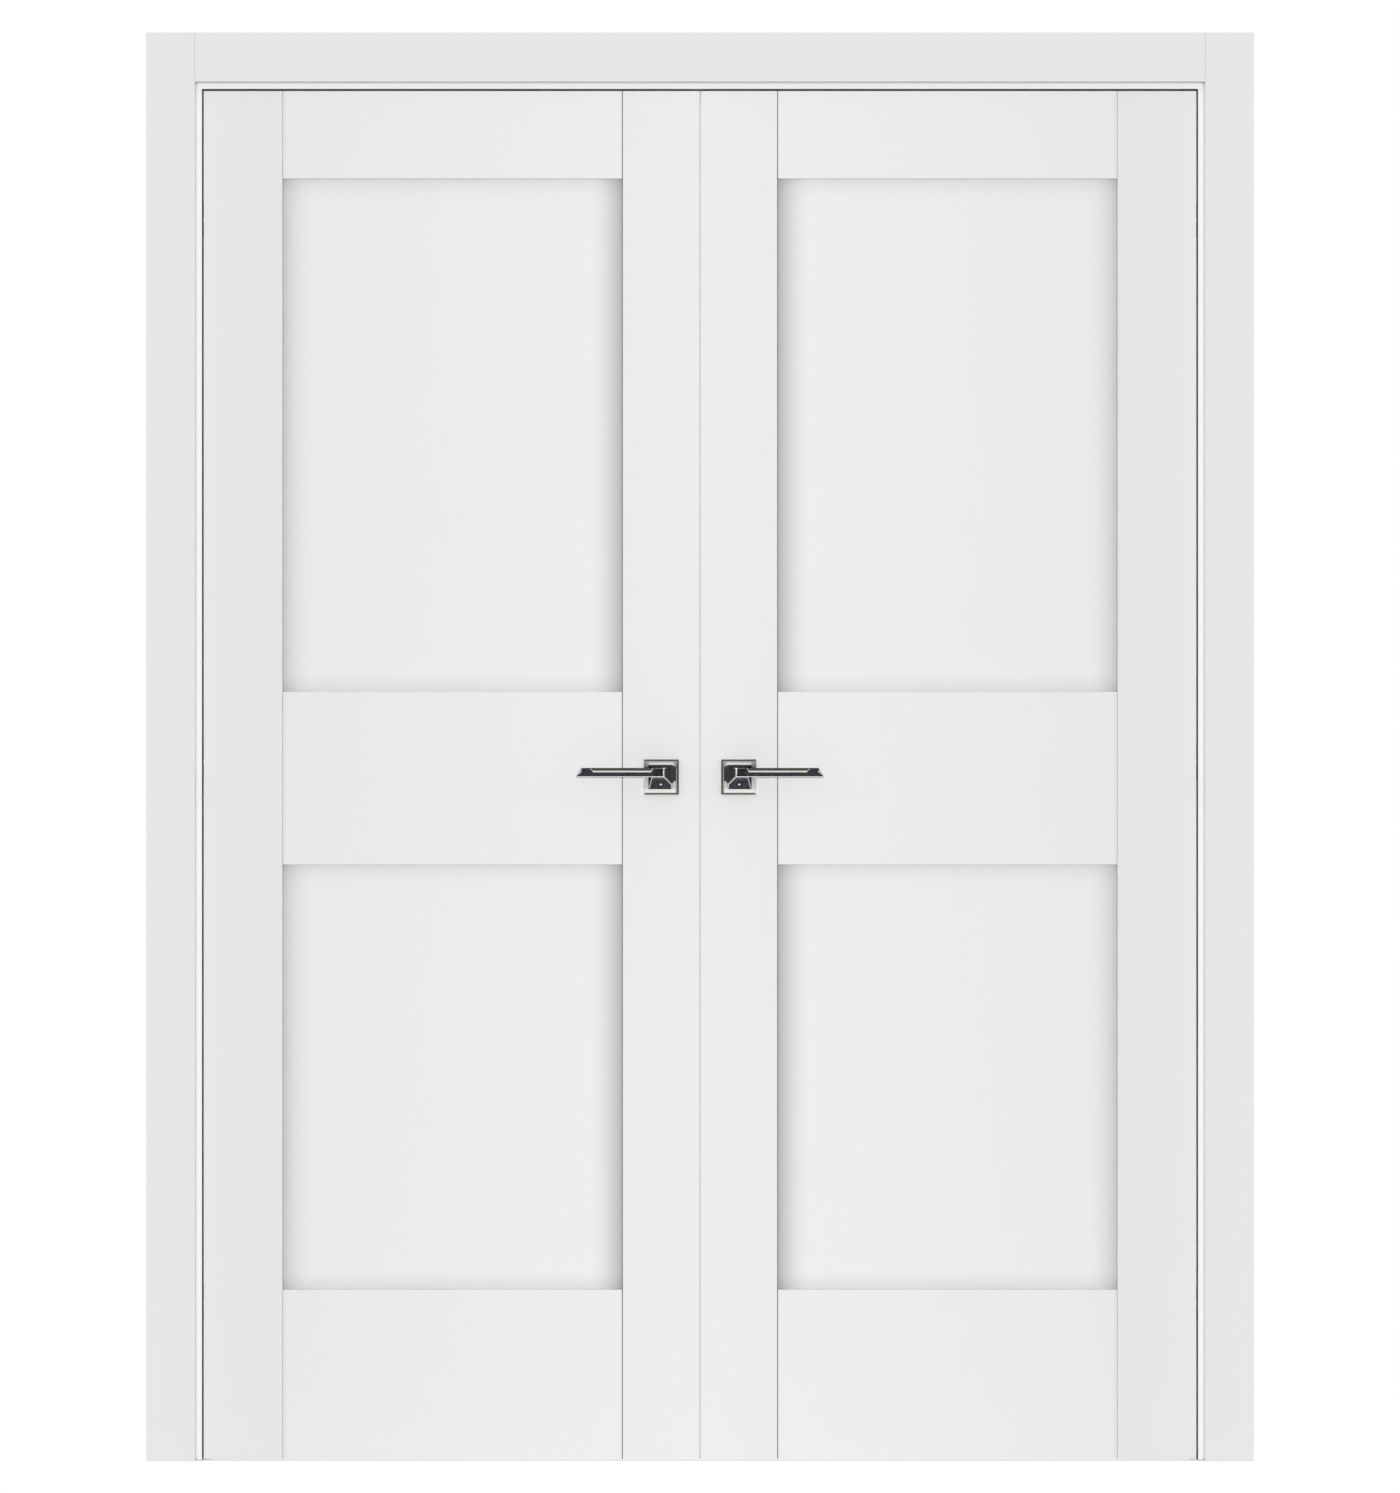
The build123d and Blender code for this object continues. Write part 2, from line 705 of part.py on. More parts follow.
with BuildPart() as latch_bolt:
    with BuildSketch(edge_plane()):
        Rectangle(latch_bolt_width, latch_bolt_height)
    extrude(amount=latch_bolt_length)
    fillet(latch_bolt.faces().sort_by(Axis.X)[0].edges().filter_by(Axis.Z), latch_bolt_round)
save(latch_bolt, "latch_bolt")

with BuildPart() as right_meeting_stile:
    add(meeting_stile.part)
    with BuildSketch(edge_plane(-edge_bevel - overrun)):
        plate_face(forend_width, forend_height, mortise_fit)
    extrude(amount=edge_bevel + overrun + forend_thickness, mode=Mode.SUBTRACT)
    with BuildSketch(edge_plane()):
        Rectangle(latch_case_thickness + 2 * mortise_fit, latch_case_height + 2 * mortise_fit)
    extrude(amount=latch_case_depth + mortise_fit, mode=Mode.SUBTRACT)
save(right_meeting_stile, "right_meeting_stile")

# Strike, flush bolt and seal belong to the left leaf: each is drawn on the right and mirrored
pocket_width = latch_bolt_width + 2 * strike_room
pocket_height = latch_bolt_height + 2 * strike_room
pocket_depth = latch_travel + strike_room
flush_level = leaf_top_z - flush_case_top - flush_case_height / 2
flush_bolt_x = edge_plate_x + flush_bolt_axis
flush_slot_height = flush_thumb_height + flush_travel + 2 * flush_fit
flush_bolt_top_z = leaf_top_z - flush_bolt_set_back
flush_bolt_low_z = flush_level - flush_thumb_height / 2

with BuildPart() as strike_plate:
    with BuildSketch(edge_plane()):
        plate_face(forend_width, strike_height)
        Rectangle(pocket_width, pocket_height, mode=Mode.SUBTRACT)
    extrude(amount=strike_thickness)
    mirror(strike_plate.part, about=Plane.YZ, mode=Mode.REPLACE)
save(strike_plate, "strike_plate")

with BuildPart() as flush_case:
    with BuildSketch(edge_plane(0, flush_level)):
        plate_face(forend_width, flush_case_height)
    extrude(amount=strike_thickness)
    with BuildSketch(edge_plane(strike_thickness, flush_level)):
        Rectangle(latch_case_thickness, flush_case_height - forend_width)
    extrude(amount=flush_case_depth - strike_thickness)
    with BuildSketch(edge_plane(0, flush_level + flush_travel / 2)):
        Rectangle(flush_slot_width + 2 * flush_fit, flush_slot_height)
    extrude(amount=flush_bolt_axis, mode=Mode.SUBTRACT)
    with BuildSketch(Plane.XY.offset(flush_bolt_low_z - flush_fit)):
        with Locations((flush_bolt_x, leaf_mid_y)):
            Circle(flush_bolt_radius + flush_fit)
    extrude(amount=flush_case_height, mode=Mode.SUBTRACT)
    mirror(flush_case.part, about=Plane.YZ, mode=Mode.REPLACE)
save(flush_case, "flush_bolt_case")

with BuildPart() as flush_bolt:
    with BuildSketch(Plane.XY.offset(flush_bolt_low_z)):
        with Locations((flush_bolt_x, leaf_mid_y)):
            Circle(flush_bolt_radius)
    extrude(amount=flush_bolt_top_z - flush_bolt_low_z)
    with BuildSketch(edge_plane(flush_fit, flush_level)):
        Rectangle(flush_slot_width, flush_thumb_height)
    extrude(amount=flush_bolt_axis - flush_fit)
    mirror(flush_bolt.part, about=Plane.YZ, mode=Mode.REPLACE)
save(flush_bolt, "flush_bolt")

seal_mid_y = leaf_front_y + seal_inset + seal_width / 2
seal_low_y = seal_mid_y - seal_width / 2
seal_high_y = seal_mid_y + seal_width / 2
seal_kerf_low_y = seal_mid_y - kerf_width / 2
seal_kerf_high_y = seal_mid_y + kerf_width / 2
seal_root_x = leaf_inner_x + kerf_depth
seal_seat_x = leaf_inner_x
seal_tip_x = strip_clearance - leaf_inner_x

with BuildPart() as meeting_seal:
    with BuildSketch(Plane.XY.offset(leaf_bottom_z)):
        Polygon(
            (seal_root_x - strip_fit, seal_kerf_low_y + strip_fit),
            (seal_root_x - strip_fit, seal_kerf_high_y - strip_fit),
            (seal_seat_x, seal_kerf_high_y - strip_fit),
            (seal_seat_x, seal_high_y),
            (seal_tip_x + seal_round, seal_high_y),
            (seal_tip_x, seal_high_y - seal_round),
            (seal_tip_x, seal_low_y + seal_round),
            (seal_tip_x + seal_round, seal_low_y),
            (seal_seat_x, seal_low_y),
            (seal_seat_x, seal_kerf_low_y + strip_fit),
            align=None,
        )
    extrude(amount=leaf_height)
    mirror(meeting_seal.part, about=Plane.YZ, mode=Mode.REPLACE)
save(meeting_seal, "meeting_seal")

with BuildPart() as left_meeting_stile:
    add(meeting_stile.part)
    with BuildSketch(edge_plane(-edge_bevel - overrun)):
        plate_face(forend_width, strike_height, mortise_fit)
    extrude(amount=edge_bevel + overrun + strike_thickness, mode=Mode.SUBTRACT)
    with BuildSketch(edge_plane()):
        Rectangle(pocket_width, pocket_height)
    extrude(amount=pocket_depth, mode=Mode.SUBTRACT)
    with BuildSketch(edge_plane(-edge_bevel - overrun, flush_level)):
        plate_face(forend_width, flush_case_height, mortise_fit)
    extrude(amount=edge_bevel + overrun + strike_thickness, mode=Mode.SUBTRACT)
    with BuildSketch(edge_plane(0, flush_level)):
        Rectangle(latch_case_thickness + 2 * mortise_fit, flush_case_height - forend_width + 2 * mortise_fit)
    extrude(amount=flush_case_depth + mortise_fit, mode=Mode.SUBTRACT)
    with BuildSketch(Plane.XY.offset(flush_level)):
        with Locations((flush_bolt_x, leaf_mid_y)):
            Circle(flush_bolt_radius + flush_fit)
    extrude(amount=leaf_top_z + overrun - flush_level, mode=Mode.SUBTRACT)
    with BuildSketch(Plane.XY.offset(leaf_bottom_z - overrun)):
        with Locations((leaf_inner_x + kerf_depth / 2, seal_mid_y)):
            Rectangle(kerf_depth + 2 * edge_bevel, kerf_width)
    extrude(amount=leaf_height + 2 * overrun, mode=Mode.SUBTRACT)
    mirror(left_meeting_stile.part, about=Plane.YZ, mode=Mode.REPLACE)
save(left_meeting_stile, "left_meeting_stile")

# Head jamb, with the strike that takes the flush bolt
strike_slot_width = 2 * (flush_bolt_radius + head_strike_room)

with BuildPart() as head_strike:
    with BuildSketch(Plane.XY.offset(head_under_z)):
        with Locations((-flush_bolt_x, leaf_mid_y)):
            plate_face(head_strike_length, forend_width)
            Rectangle(head_strike_slot, strike_slot_width, mode=Mode.SUBTRACT)
    extrude(amount=strike_thickness)
save(head_strike, "head_strike")

with BuildPart() as head_jamb:
    add(head_run(jamb_section))
    with BuildSketch(Plane.XY.offset(head_under_z - overrun)):
        with Locations((-flush_bolt_x, leaf_mid_y)):
            plate_face(head_strike_length, forend_width, mortise_fit)
    extrude(amount=strike_thickness + overrun, mode=Mode.SUBTRACT)
    with BuildSketch(Plane.XY.offset(head_under_z)):
        with Locations((-flush_bolt_x, leaf_mid_y)):
            Rectangle(head_strike_slot, strike_slot_width)
    extrude(amount=flush_travel + head_strike_room, mode=Mode.SUBTRACT)
save(head_jamb, "head_jamb")
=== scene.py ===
"""Looks of a prehung double door: white lacquered leaves and frame, chrome and nickel levers.

Metres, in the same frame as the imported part: +Z up, the front faces -Y.
"""
import math

import bmesh
import bpy
from mathutils import Matrix, Vector


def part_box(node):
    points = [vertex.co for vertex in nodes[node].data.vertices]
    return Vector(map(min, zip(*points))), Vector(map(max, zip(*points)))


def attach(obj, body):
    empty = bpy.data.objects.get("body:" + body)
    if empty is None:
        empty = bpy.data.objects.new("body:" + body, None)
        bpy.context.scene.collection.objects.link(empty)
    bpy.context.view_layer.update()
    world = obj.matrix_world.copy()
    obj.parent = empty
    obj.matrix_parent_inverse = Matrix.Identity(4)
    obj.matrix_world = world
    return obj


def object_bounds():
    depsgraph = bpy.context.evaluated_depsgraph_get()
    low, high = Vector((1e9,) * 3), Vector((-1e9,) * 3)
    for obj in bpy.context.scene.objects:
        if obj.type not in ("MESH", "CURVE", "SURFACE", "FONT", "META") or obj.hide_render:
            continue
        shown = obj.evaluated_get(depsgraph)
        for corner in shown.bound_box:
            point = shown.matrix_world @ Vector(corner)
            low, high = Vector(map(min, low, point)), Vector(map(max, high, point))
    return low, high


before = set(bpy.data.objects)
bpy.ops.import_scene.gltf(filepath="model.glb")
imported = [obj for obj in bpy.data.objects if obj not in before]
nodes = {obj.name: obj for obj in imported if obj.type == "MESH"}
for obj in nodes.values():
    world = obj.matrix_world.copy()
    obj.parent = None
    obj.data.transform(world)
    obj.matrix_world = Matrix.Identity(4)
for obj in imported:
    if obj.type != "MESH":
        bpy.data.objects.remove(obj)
cad_low, cad_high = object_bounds()
scene = bpy.context.scene
scene.view_settings.view_transform = "Standard"

# The picture: 1400 by 1493 pixels, the door seen square on through a long lens
IMAGE_HEIGHT_PX = 1493
DOOR_TOP_PX = 32.5
DOOR_BOTTOM_PX = 1461.5
LENS_MM = 300.0
SENSOR_MM = 36.0
FAR_CLIP = 200.0
LEVEL_TILT = math.radians(90)

# Each side's name and the sign of its X
SIDES = (("left", -1), ("right", 1))


def middle_of(name):
    """The middle of a node's box."""
    low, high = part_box(name)
    return (low + high) / 2


# Where the lever sets are: the finishes of their pieces follow places measured from here
ROSE_X = middle_of("right_front_rose").x
LEVER_Z = middle_of("right_front_rose").z
LEAF_MID_Y = middle_of("right_hinge_stile").y


# Node tree helpers

NOISE_ROUGHNESS = 0.55
FINE_DETAIL = 3.0
FULL_DETAIL = 4.0
RAMP_SPAN = (0.3, 0.7)


def shader(name):
    """A new material with a Principled shader; returns the material, its tree and the shader."""
    material = bpy.data.materials.new(name)
    material.use_nodes = True
    tree = material.node_tree
    return material, tree, tree.nodes["Principled BSDF"]


def noise(tree, scale, stretch, detail=FINE_DETAIL):
    """Noise in object space, stretched by a factor for each axis."""
    place = tree.nodes.new("ShaderNodeTexCoord")
    spread = tree.nodes.new("ShaderNodeMapping")
    spread.inputs["Scale"].default_value = stretch
    cloud = tree.nodes.new("ShaderNodeTexNoise")
    cloud.inputs["Scale"].default_value = scale
    cloud.inputs["Detail"].default_value = detail
    cloud.inputs["Roughness"].default_value = NOISE_ROUGHNESS
    tree.links.new(place.outputs["Object"], spread.inputs["Vector"])
    tree.links.new(spread.outputs["Vector"], cloud.inputs["Vector"])
    return cloud.outputs["Fac"]


def ramp(tree, factor, stops):
    """Colour ramp through some stops, each with its position and its colour."""
    band = tree.nodes.new("ShaderNodeValToRGB")
    elements = band.color_ramp.elements
    while len(elements) < len(stops):
        elements.new(1.0)
    for element, (position, colour) in zip(elements, stops):
        element.position = position
        element.color = (*colour, 1)
    tree.links.new(factor, band.inputs["Fac"])
    return band.outputs["Color"]


def tint(colour, factor):
    """The colour made lighter or darker by a factor."""
    return tuple(channel * factor for channel in colour)


def toned(tree, factor, colour, shares):
    """A colour that the marks of a finish vary between two shares of it."""
    return ramp(tree, factor, [(stop, tint(colour, share)) for stop, share in zip(RAMP_SPAN, shares)])


def tones_of(tree, factor, tones):
    """Every tone of a finish by its name, varied by the marks of the finish."""
    return {name: toned(tree, factor, colour, shares) for name, (colour, shares) in tones.items()}


def spread_value(tree, factor, low, high, from_low=0.0, from_high=1.0):
    """Map a range of a factor onto a range of values."""
    remap = tree.nodes.new("ShaderNodeMapRange")
    remap.inputs["From Min"].default_value = from_low
    remap.inputs["From Max"].default_value = from_high
    remap.inputs["To Min"].default_value = low
    remap.inputs["To Max"].default_value = high
    tree.links.new(factor, remap.inputs["Value"])
    return remap.outputs["Result"]


def mix_node(tree, first, second, blend):
    """A node that mixes two colours."""
    mix = tree.nodes.new("ShaderNodeMix")
    mix.data_type = "RGBA"
    mix.blend_type = blend
    tree.links.new(first, mix.inputs["A"])
    tree.links.new(second, mix.inputs["B"])
    return mix


def mixed(tree, factor, first, second):
    """The first colour where the factor is 0, the second where it is 1."""
    mix = mix_node(tree, first, second, "MIX")
    tree.links.new(factor, mix.inputs["Factor"])
    return mix.outputs["Result"]


def shaded(tree, colour, shade):
    """A colour made darker by a grey."""
    mix = mix_node(tree, colour, shade, "MULTIPLY")
    mix.inputs["Factor"].default_value = 1.0
    return mix.outputs["Result"]


def math_node(tree, operation, *values):
    """One arithmetic node; each input is an output socket or a number."""
    node = tree.nodes.new("ShaderNodeMath")
    node.operation = operation
    for slot, value in enumerate(values):
        if isinstance(value, (int, float)):
            node.inputs[slot].default_value = value
        else:
            tree.links.new(value, node.inputs[slot])
    return node.outputs["Value"]


def above(tree, value, limit):
    """1 where a value is over a limit, 0 elsewhere."""
    return math_node(tree, "GREATER_THAN", value, limit)


def below(tree, value, limit):
    """1 where a value is under a limit, 0 elsewhere."""
    return math_node(tree, "LESS_THAN", value, limit)


def times(tree, first, second):
    """The product of two values; of two masks, 1 where both are 1."""
    return math_node(tree, "MULTIPLY", first, second)


def larger(tree, first, second):
    """The larger of two values; of two masks, 1 where either is 1."""
    return math_node(tree, "MAXIMUM", first, second)


def minus(tree, first, second):
    """The first value less the second."""
    return math_node(tree, "SUBTRACT", first, second)


def between(tree, value, low, high):
    """1 where a value lies between two limits, 0 elsewhere."""
    return times(tree, above(tree, value, low), below(tree, value, high))


def size_of(tree, value):
    """A value without its sign."""
    return math_node(tree, "ABSOLUTE", value)


def axes_of(tree, coordinate):
    """X, Y and Z of the place ("Object") or of the way the surface faces ("Normal"), in the part's axes."""
    place = tree.nodes.new("ShaderNodeTexCoord")
    axes = tree.nodes.new("ShaderNodeSeparateXYZ")
    tree.links.new(place.outputs[coordinate], axes.inputs["Vector"])
    return axes.outputs


def grey(tree, value):
    """A grey of that value."""
    colour = tree.nodes.new("ShaderNodeCombineColor")
    for channel in ("Red", "Green", "Blue"):
        tree.links.new(value, colour.inputs[channel])
    return colour.outputs["Color"]


def coat(tree, principled, colour, marks, roughness):
    """Give a shader its colour, and a roughness that the marks of the finish vary within a range."""
    tree.links.new(colour, principled.inputs["Base Color"])
    tree.links.new(spread_value(tree, marks, *roughness), principled.inputs["Roughness"])


def bump(tree, principled, marks, depth):
    """Let the marks of a finish raise the surface, by a depth in metres."""
    relief = tree.nodes.new("ShaderNodeBump")
    relief.inputs["Distance"].default_value = depth
    tree.links.new(marks, relief.inputs["Height"])
    tree.links.new(relief.outputs["Normal"], principled.inputs["Normal"])


# Lacquer: smooth white paint, with a very faint grain along each board

GRAIN_SCALE = 260.0
GRAIN_ALONG = 0.04
GRAIN_SHARES = (0.992, 1.0)
GRAIN_DEPTH = 0.000006
PAINT_ROUGHNESS = (0.42, 0.54)
PAINT_GLOSS = 0.3

UPRIGHT = (1, 1, GRAIN_ALONG)
LYING = (GRAIN_ALONG, 1, 1)

# Narrow corners: how far their shade reaches, and where it starts and ends
CREVICE_SAMPLES = 6
CREVICE_REACH = 0.006
CREVICE_SPAN = (0.35, 0.8)
WHITE = (1, 1, 1)

# Shade inside a panel's field and at the ends of a rail: how much at the edge, and how far it reaches
PANEL_HINGE_RIM = (0.32, 0.043)
PANEL_MEETING_RIM = (0.47, 0.052)
PANEL_TOP_RIM = (0.13, 0.038)
PANEL_BOTTOM_RIM = (0.22, 0.034)
RAIL_HINGE_RIM = (0.08, 0.009)
RAIL_MEETING_RIM = (0.06, 0.006)
RIM_POWER = 2.0

# Painted shade across each board: the white grows a little darker towards one side; its share at the darker
# side
LEAF_ACROSS_SHADE = 0.950
MEETING_STILE_ACROSS_SHADE = 0.984
HINGE_STILE_ACROSS_SHADE = 0.983
CASING_ACROSS_SHADE = 0.981

# Shade in the narrow chamfers between the stiles and the rest of a leaf
LINE_SHARE = 0.30
CHAMFER_FACING = 0.4


def crevice_shade(tree, corner_share):
    """Painted shade: grey that falls off in narrow corners."""
    corner = tree.nodes.new("ShaderNodeAmbientOcclusion")
    corner.samples = CREVICE_SAMPLES
    corner.inputs["Distance"].default_value = CREVICE_REACH
    return ramp(tree, corner.outputs["AO"], list(zip(CREVICE_SPAN, ((corner_share,) * 3, WHITE))))


def rim_shade(tree, edges):
    """Grey that falls off softly towards edges, each given by axis, place, way inward, share and reach."""
    place = axes_of(tree, "Object")
    shade = 1.0
    for axis, edge, inward, (share, reach) in edges:
        near = spread_value(tree, place[axis], 1.0, 0.0, edge, edge + inward * reach)
        fall = times(tree, math_node(tree, "POWER", near, RIM_POWER), share)
        shade = times(tree, shade, minus(tree, 1.0, fall))
    return grey(tree, shade)


def painted_shade_across(tree, deep_x, light_x, share):
    """Painted shade: grey that goes from a share to white between two distances from the door's middle."""
    across = size_of(tree, axes_of(tree, "Object")["X"])
    return grey(tree, spread_value(tree, across, share, 1.0, deep_x, light_x))


def line_shade(tree, sign):
    """Grey on the slanted chamfers that face towards +X or, with a sign of -1, towards -X."""
    facing = axes_of(tree, "Normal")
    sideways = above(tree, times(tree, facing["X"], sign), CHAMFER_FACING)
    outward = above(tree, size_of(tree, facing["Y"]), CHAMFER_FACING)
    return grey(tree, spread_value(tree, times(tree, sideways, outward), 1.0, LINE_SHARE))


def lacquer(name, colour, stretch, corner_share, across_shade=None, rim=None, line=None):
    """White lacquer with painted shade across the board, towards edges (rim), on a stile's chamfers (line)
    and in narrow corners.
    """
    material, tree, principled = shader(name)
    grain = noise(tree, GRAIN_SCALE, stretch)
    # Painted shade in narrow corners, across the board, towards edges and on a stile's chamfers
    shades = [crevice_shade(tree, corner_share)]
    if across_shade:
        shades.append(painted_shade_across(tree, *across_shade))
    if rim:
        shades.append(rim_shade(tree, rim))
    if line:
        shades.append(line_shade(tree, line))
    paint = toned(tree, grain, colour, GRAIN_SHARES)
    for shade in shades:
        paint = shaded(tree, paint, shade)
    coat(tree, principled, paint, grain, PAINT_ROUGHNESS)
    bump(tree, principled, grain, GRAIN_DEPTH)
    principled.inputs["Specular IOR Level"].default_value = PAINT_GLOSS
    return material


# Whites of the boards: copies of one white lacquer, lighter and darker by the light each board gets (painted
# light and shade)
CASING_WHITE = (0.820, 0.808, 0.814)
HEAD_WHITE = (0.812, 0.800, 0.806)
HINGE_STILE_WHITE = (0.817, 0.805, 0.811)
RAIL_WHITE = (0.870, 0.864, 0.867)
MEETING_STILE_WHITE = (0.872, 0.862, 0.857)
PANEL_WHITE = (0.880, 0.875, 0.878)
# The jamb's white is painted lighter against the casing's shade on its reveal
JAMB_WHITE = (0.910, 0.900, 0.893)

# The share of each white left in narrow corners by the painted crevice shade
OPEN_CORNER = 0.95
RAIL_CORNER = 0.9
HINGE_STILE_CORNER = 0.6
HEAD_JAMB_CORNER = 0.55
JAMB_CORNER = 0.45


def casing_paint():
    """Lacquer of the upright casings, with painted shade a little deeper towards the leaves."""
    low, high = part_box("right_front_casing")
    return lacquer("casing_lacquer", CASING_WHITE, UPRIGHT, OPEN_CORNER, (low.x, high.x, CASING_ACROSS_SHADE))


def joints_of(side):
    """Where a leaf's panels and rails meet its hinge stile and its meeting stile."""
    hinge_low, hinge_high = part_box(f"{side}_hinge_stile")
    meeting_low, meeting_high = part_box(f"{side}_meeting_stile")
    if side == "left":
        return hinge_high.x, meeting_low.x
    return hinge_low.x, meeting_high.x


def leaf_shade_across(side):
    """Painted shade on a leaf's rails and panels, lightening from the hinge stile to the meeting stile."""
    hinge_x, meeting_x = joints_of(side)
    return abs(hinge_x), abs(meeting_x), LEAF_ACROSS_SHADE


def hinge_stile_paint(side, sign):
    """Lacquer of a hinge stile, with painted shade a little deeper towards the panels."""
    low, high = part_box("right_hinge_stile")
    across_shade = (low.x, high.x, HINGE_STILE_ACROSS_SHADE)
    name = f"{side}_hinge_stile_lacquer"
    return lacquer(name, HINGE_STILE_WHITE, UPRIGHT, HINGE_STILE_CORNER, across_shade, line=-sign)


def meeting_stile_paint(side, sign):
    """Lacquer of a meeting stile, with painted shade a little deeper towards the panels."""
    low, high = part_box("right_meeting_stile")
    across_shade = (high.x, low.x, MEETING_STILE_ACROSS_SHADE)
    name = f"{side}_meeting_stile_lacquer"
    return lacquer(name, MEETING_STILE_WHITE, UPRIGHT, OPEN_CORNER, across_shade, line=sign)


def rail_paint(side, sign):
    """Lacquer of a leaf's rails, with painted shade at both ends and across the leaf."""
    hinge_x, meeting_x = joints_of(side)
    ends = (("X", hinge_x, -sign, RAIL_HINGE_RIM), ("X", meeting_x, sign, RAIL_MEETING_RIM))
    return lacquer(f"{side}_rail_lacquer", RAIL_WHITE, UPRIGHT, RAIL_CORNER, leaf_shade_across(side), rim=ends)


def panel_paint(side, sign, level):
    """Lacquer of one panel, with painted shade along the edges of its field and across the leaf."""
    hinge_x, meeting_x = joints_of(side)
    under, over = ("lock_rail", "top_rail") if level == "upper" else ("bottom_rail", "lock_rail")
    low_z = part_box(f"{side}_{under}")[1].z
    high_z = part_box(f"{side}_{over}")[0].z
    field = (
        ("X", hinge_x, -sign, PANEL_HINGE_RIM),
        ("X", meeting_x, sign, PANEL_MEETING_RIM),
        ("Z", low_z, 1, PANEL_BOTTOM_RIM),
        ("Z", high_z, -1, PANEL_TOP_RIM),
    )
    name = f"{side}_{level}_panel_lacquer"
    return lacquer(name, PANEL_WHITE, UPRIGHT, OPEN_CORNER, leaf_shade_across(side), rim=field)


def leaf_paints():
    """The lacquer of every board of the two leaves, by the node's name."""
    paints = {}
    for side, sign in SIDES:
        paints[f"{side}_hinge_stile"] = hinge_stile_paint(side, sign)
        paints[f"{side}_meeting_stile"] = meeting_stile_paint(side, sign)
        rails = rail_paint(side, sign)
        for rail in ("top_rail", "lock_rail", "bottom_rail"):
            paints[f"{side}_{rail}"] = rails
        for level in ("upper", "lower"):
            paints[f"{side}_{level}_panel"] = panel_paint(side, sign, level)
    return paints


# Metals: polished chrome, satin nickel, brushed champagne, cast zinc and plated steel

EVEN = (1, 1, 1)
ALONG_X = (0.02, 1, 1)
ALONG_Z = (1, 1, 0.04)

SMUDGE_SCALE = 220.0
PLATED_SCALE = 500.0
CAST_SCALE = 700.0
SATIN_SCALE = 900.0
BRUSHED_SCALE = 1500.0

BRUSHED_DEPTH = 0.00001
CAST_DEPTH = 0.00002


def metal(name, colour, roughness, scale, shade_share, stretch=EVEN, depth=0.0):
    """Metal with fine marks of its finish in colour, gloss and relief."""
    material, tree, principled = shader(name)
    marks = noise(tree, scale, stretch)
    coat(tree, principled, toned(tree, marks, colour, (shade_share, 1.0)), marks, roughness)
    principled.inputs["Metallic"].default_value = 1.0
    if depth:
        bump(tree, principled, marks, depth)
    return material


# The lever's chrome: painted reflections and highlights, a tone for each facet, and the shares between which
# smudges vary it
CHROME_PAINTED_REFLECTIONS = {
    "under": ((0.040, 0.040, 0.045), (0.6, 1.5)),
    "heel": ((0.024, 0.024, 0.027), (0.6, 1.5)),
    "neck": ((0.092, 0.092, 0.102), (0.6, 1.5)),
    "under_bar": ((0.26, 0.27, 0.30), (0.8, 1.0)),
    "bar_top": ((0.20, 0.20, 0.21), (0.8, 1.0)),
    "aside": ((0.098, 0.098, 0.098), (0.8, 1.2)),
    "toe": ((0.40, 0.44, 0.48), (0.7, 1.0)),
    "tip": ((0.62, 0.69, 0.73), (0.8, 1.0)),
    "bright": ((0.93, 0.94, 0.97), (0.9, 1.0)),
}
GRAZING_CHROME = (0.10, 0.10, 0.10)
CHROME_ROUGHNESS = (0.08, 0.14)

# Limits for the way a facet faces: sideways, upward, and to the front or back
FACING_ASIDE = 0.35
FACING_UP = 0.3
FACING_OUT = 0.5

# Limit for facing the lever's tip: the sideways facing times the place across the door
FACING_TOE = 0.02

# Heights on the lever: its lower edge, the inlay's lower and upper edges, the bar's top and just over it
LOW_EDGE_Z = LEVER_Z + 0.0009
STRIP_LOW_Z = LEVER_Z + 0.0072
STRIP_TOP_Z = LEVER_Z + 0.0093
BAR_TOP_Z = LEVER_Z + 0.0122
OVER_BAR_Z = LEVER_Z + 0.0136
UNDER_BAR_REACH = 0.0045

# The inlay's slanted ends, each at the strip's lower edge and at its upper one
INLAY_HEEL = (ROSE_X + 0.0145, ROSE_X + 0.0113)
INLAY_TOE = (ROSE_X + 0.1011, ROSE_X + 0.1064)

# Where painted highlights run along the lever's edges: down the neck and up the heel, but not along the
# plinth
EDGE_SAMPLES = 8
EDGE_RADIUS = 0.0030
EDGE_RANGE = (0.97, 0.999)
RIDGE_LOW_Z = LEVER_Z + 0.0055
HEEL_X = ROSE_X - 0.0045
HEEL_HALF = 0.0022
HEEL_TO = ROSE_X + 0.0095
BAR_HALF_DEPTH = 0.0625
PLINTH_HALF_DEPTH = 0.033


def edge_line(tree):
    """1 along the sharp edges of a piece, and 0 elsewhere."""
    round_off = tree.nodes.new("ShaderNodeBevel")
    round_off.samples = EDGE_SAMPLES
    round_off.inputs["Radius"].default_value = EDGE_RADIUS
    flat = tree.nodes.new("ShaderNodeNewGeometry")
    product = tree.nodes.new("ShaderNodeVectorMath")
    product.operation = "DOT_PRODUCT"
    tree.links.new(round_off.outputs["Normal"], product.inputs[0])
    tree.links.new(flat.outputs["True Normal"], product.inputs[1])
    return spread_value(tree, product.outputs["Value"], 1.0, 0.0, *EDGE_RANGE)


def bar_painted_reflection(tree, tone, along, height):
    """Painted reflections on the bar's front: darker at the heel, lighter at the heel's top."""
    at_heel = below(tree, along, HEEL_TO)
    heel_top = times(tree, at_heel, above(tree, height, BAR_TOP_Z))
    colour = mixed(tree, at_heel, tone["under"], tone["heel"])
    return mixed(tree, heel_top, colour, tone["bar_top"])


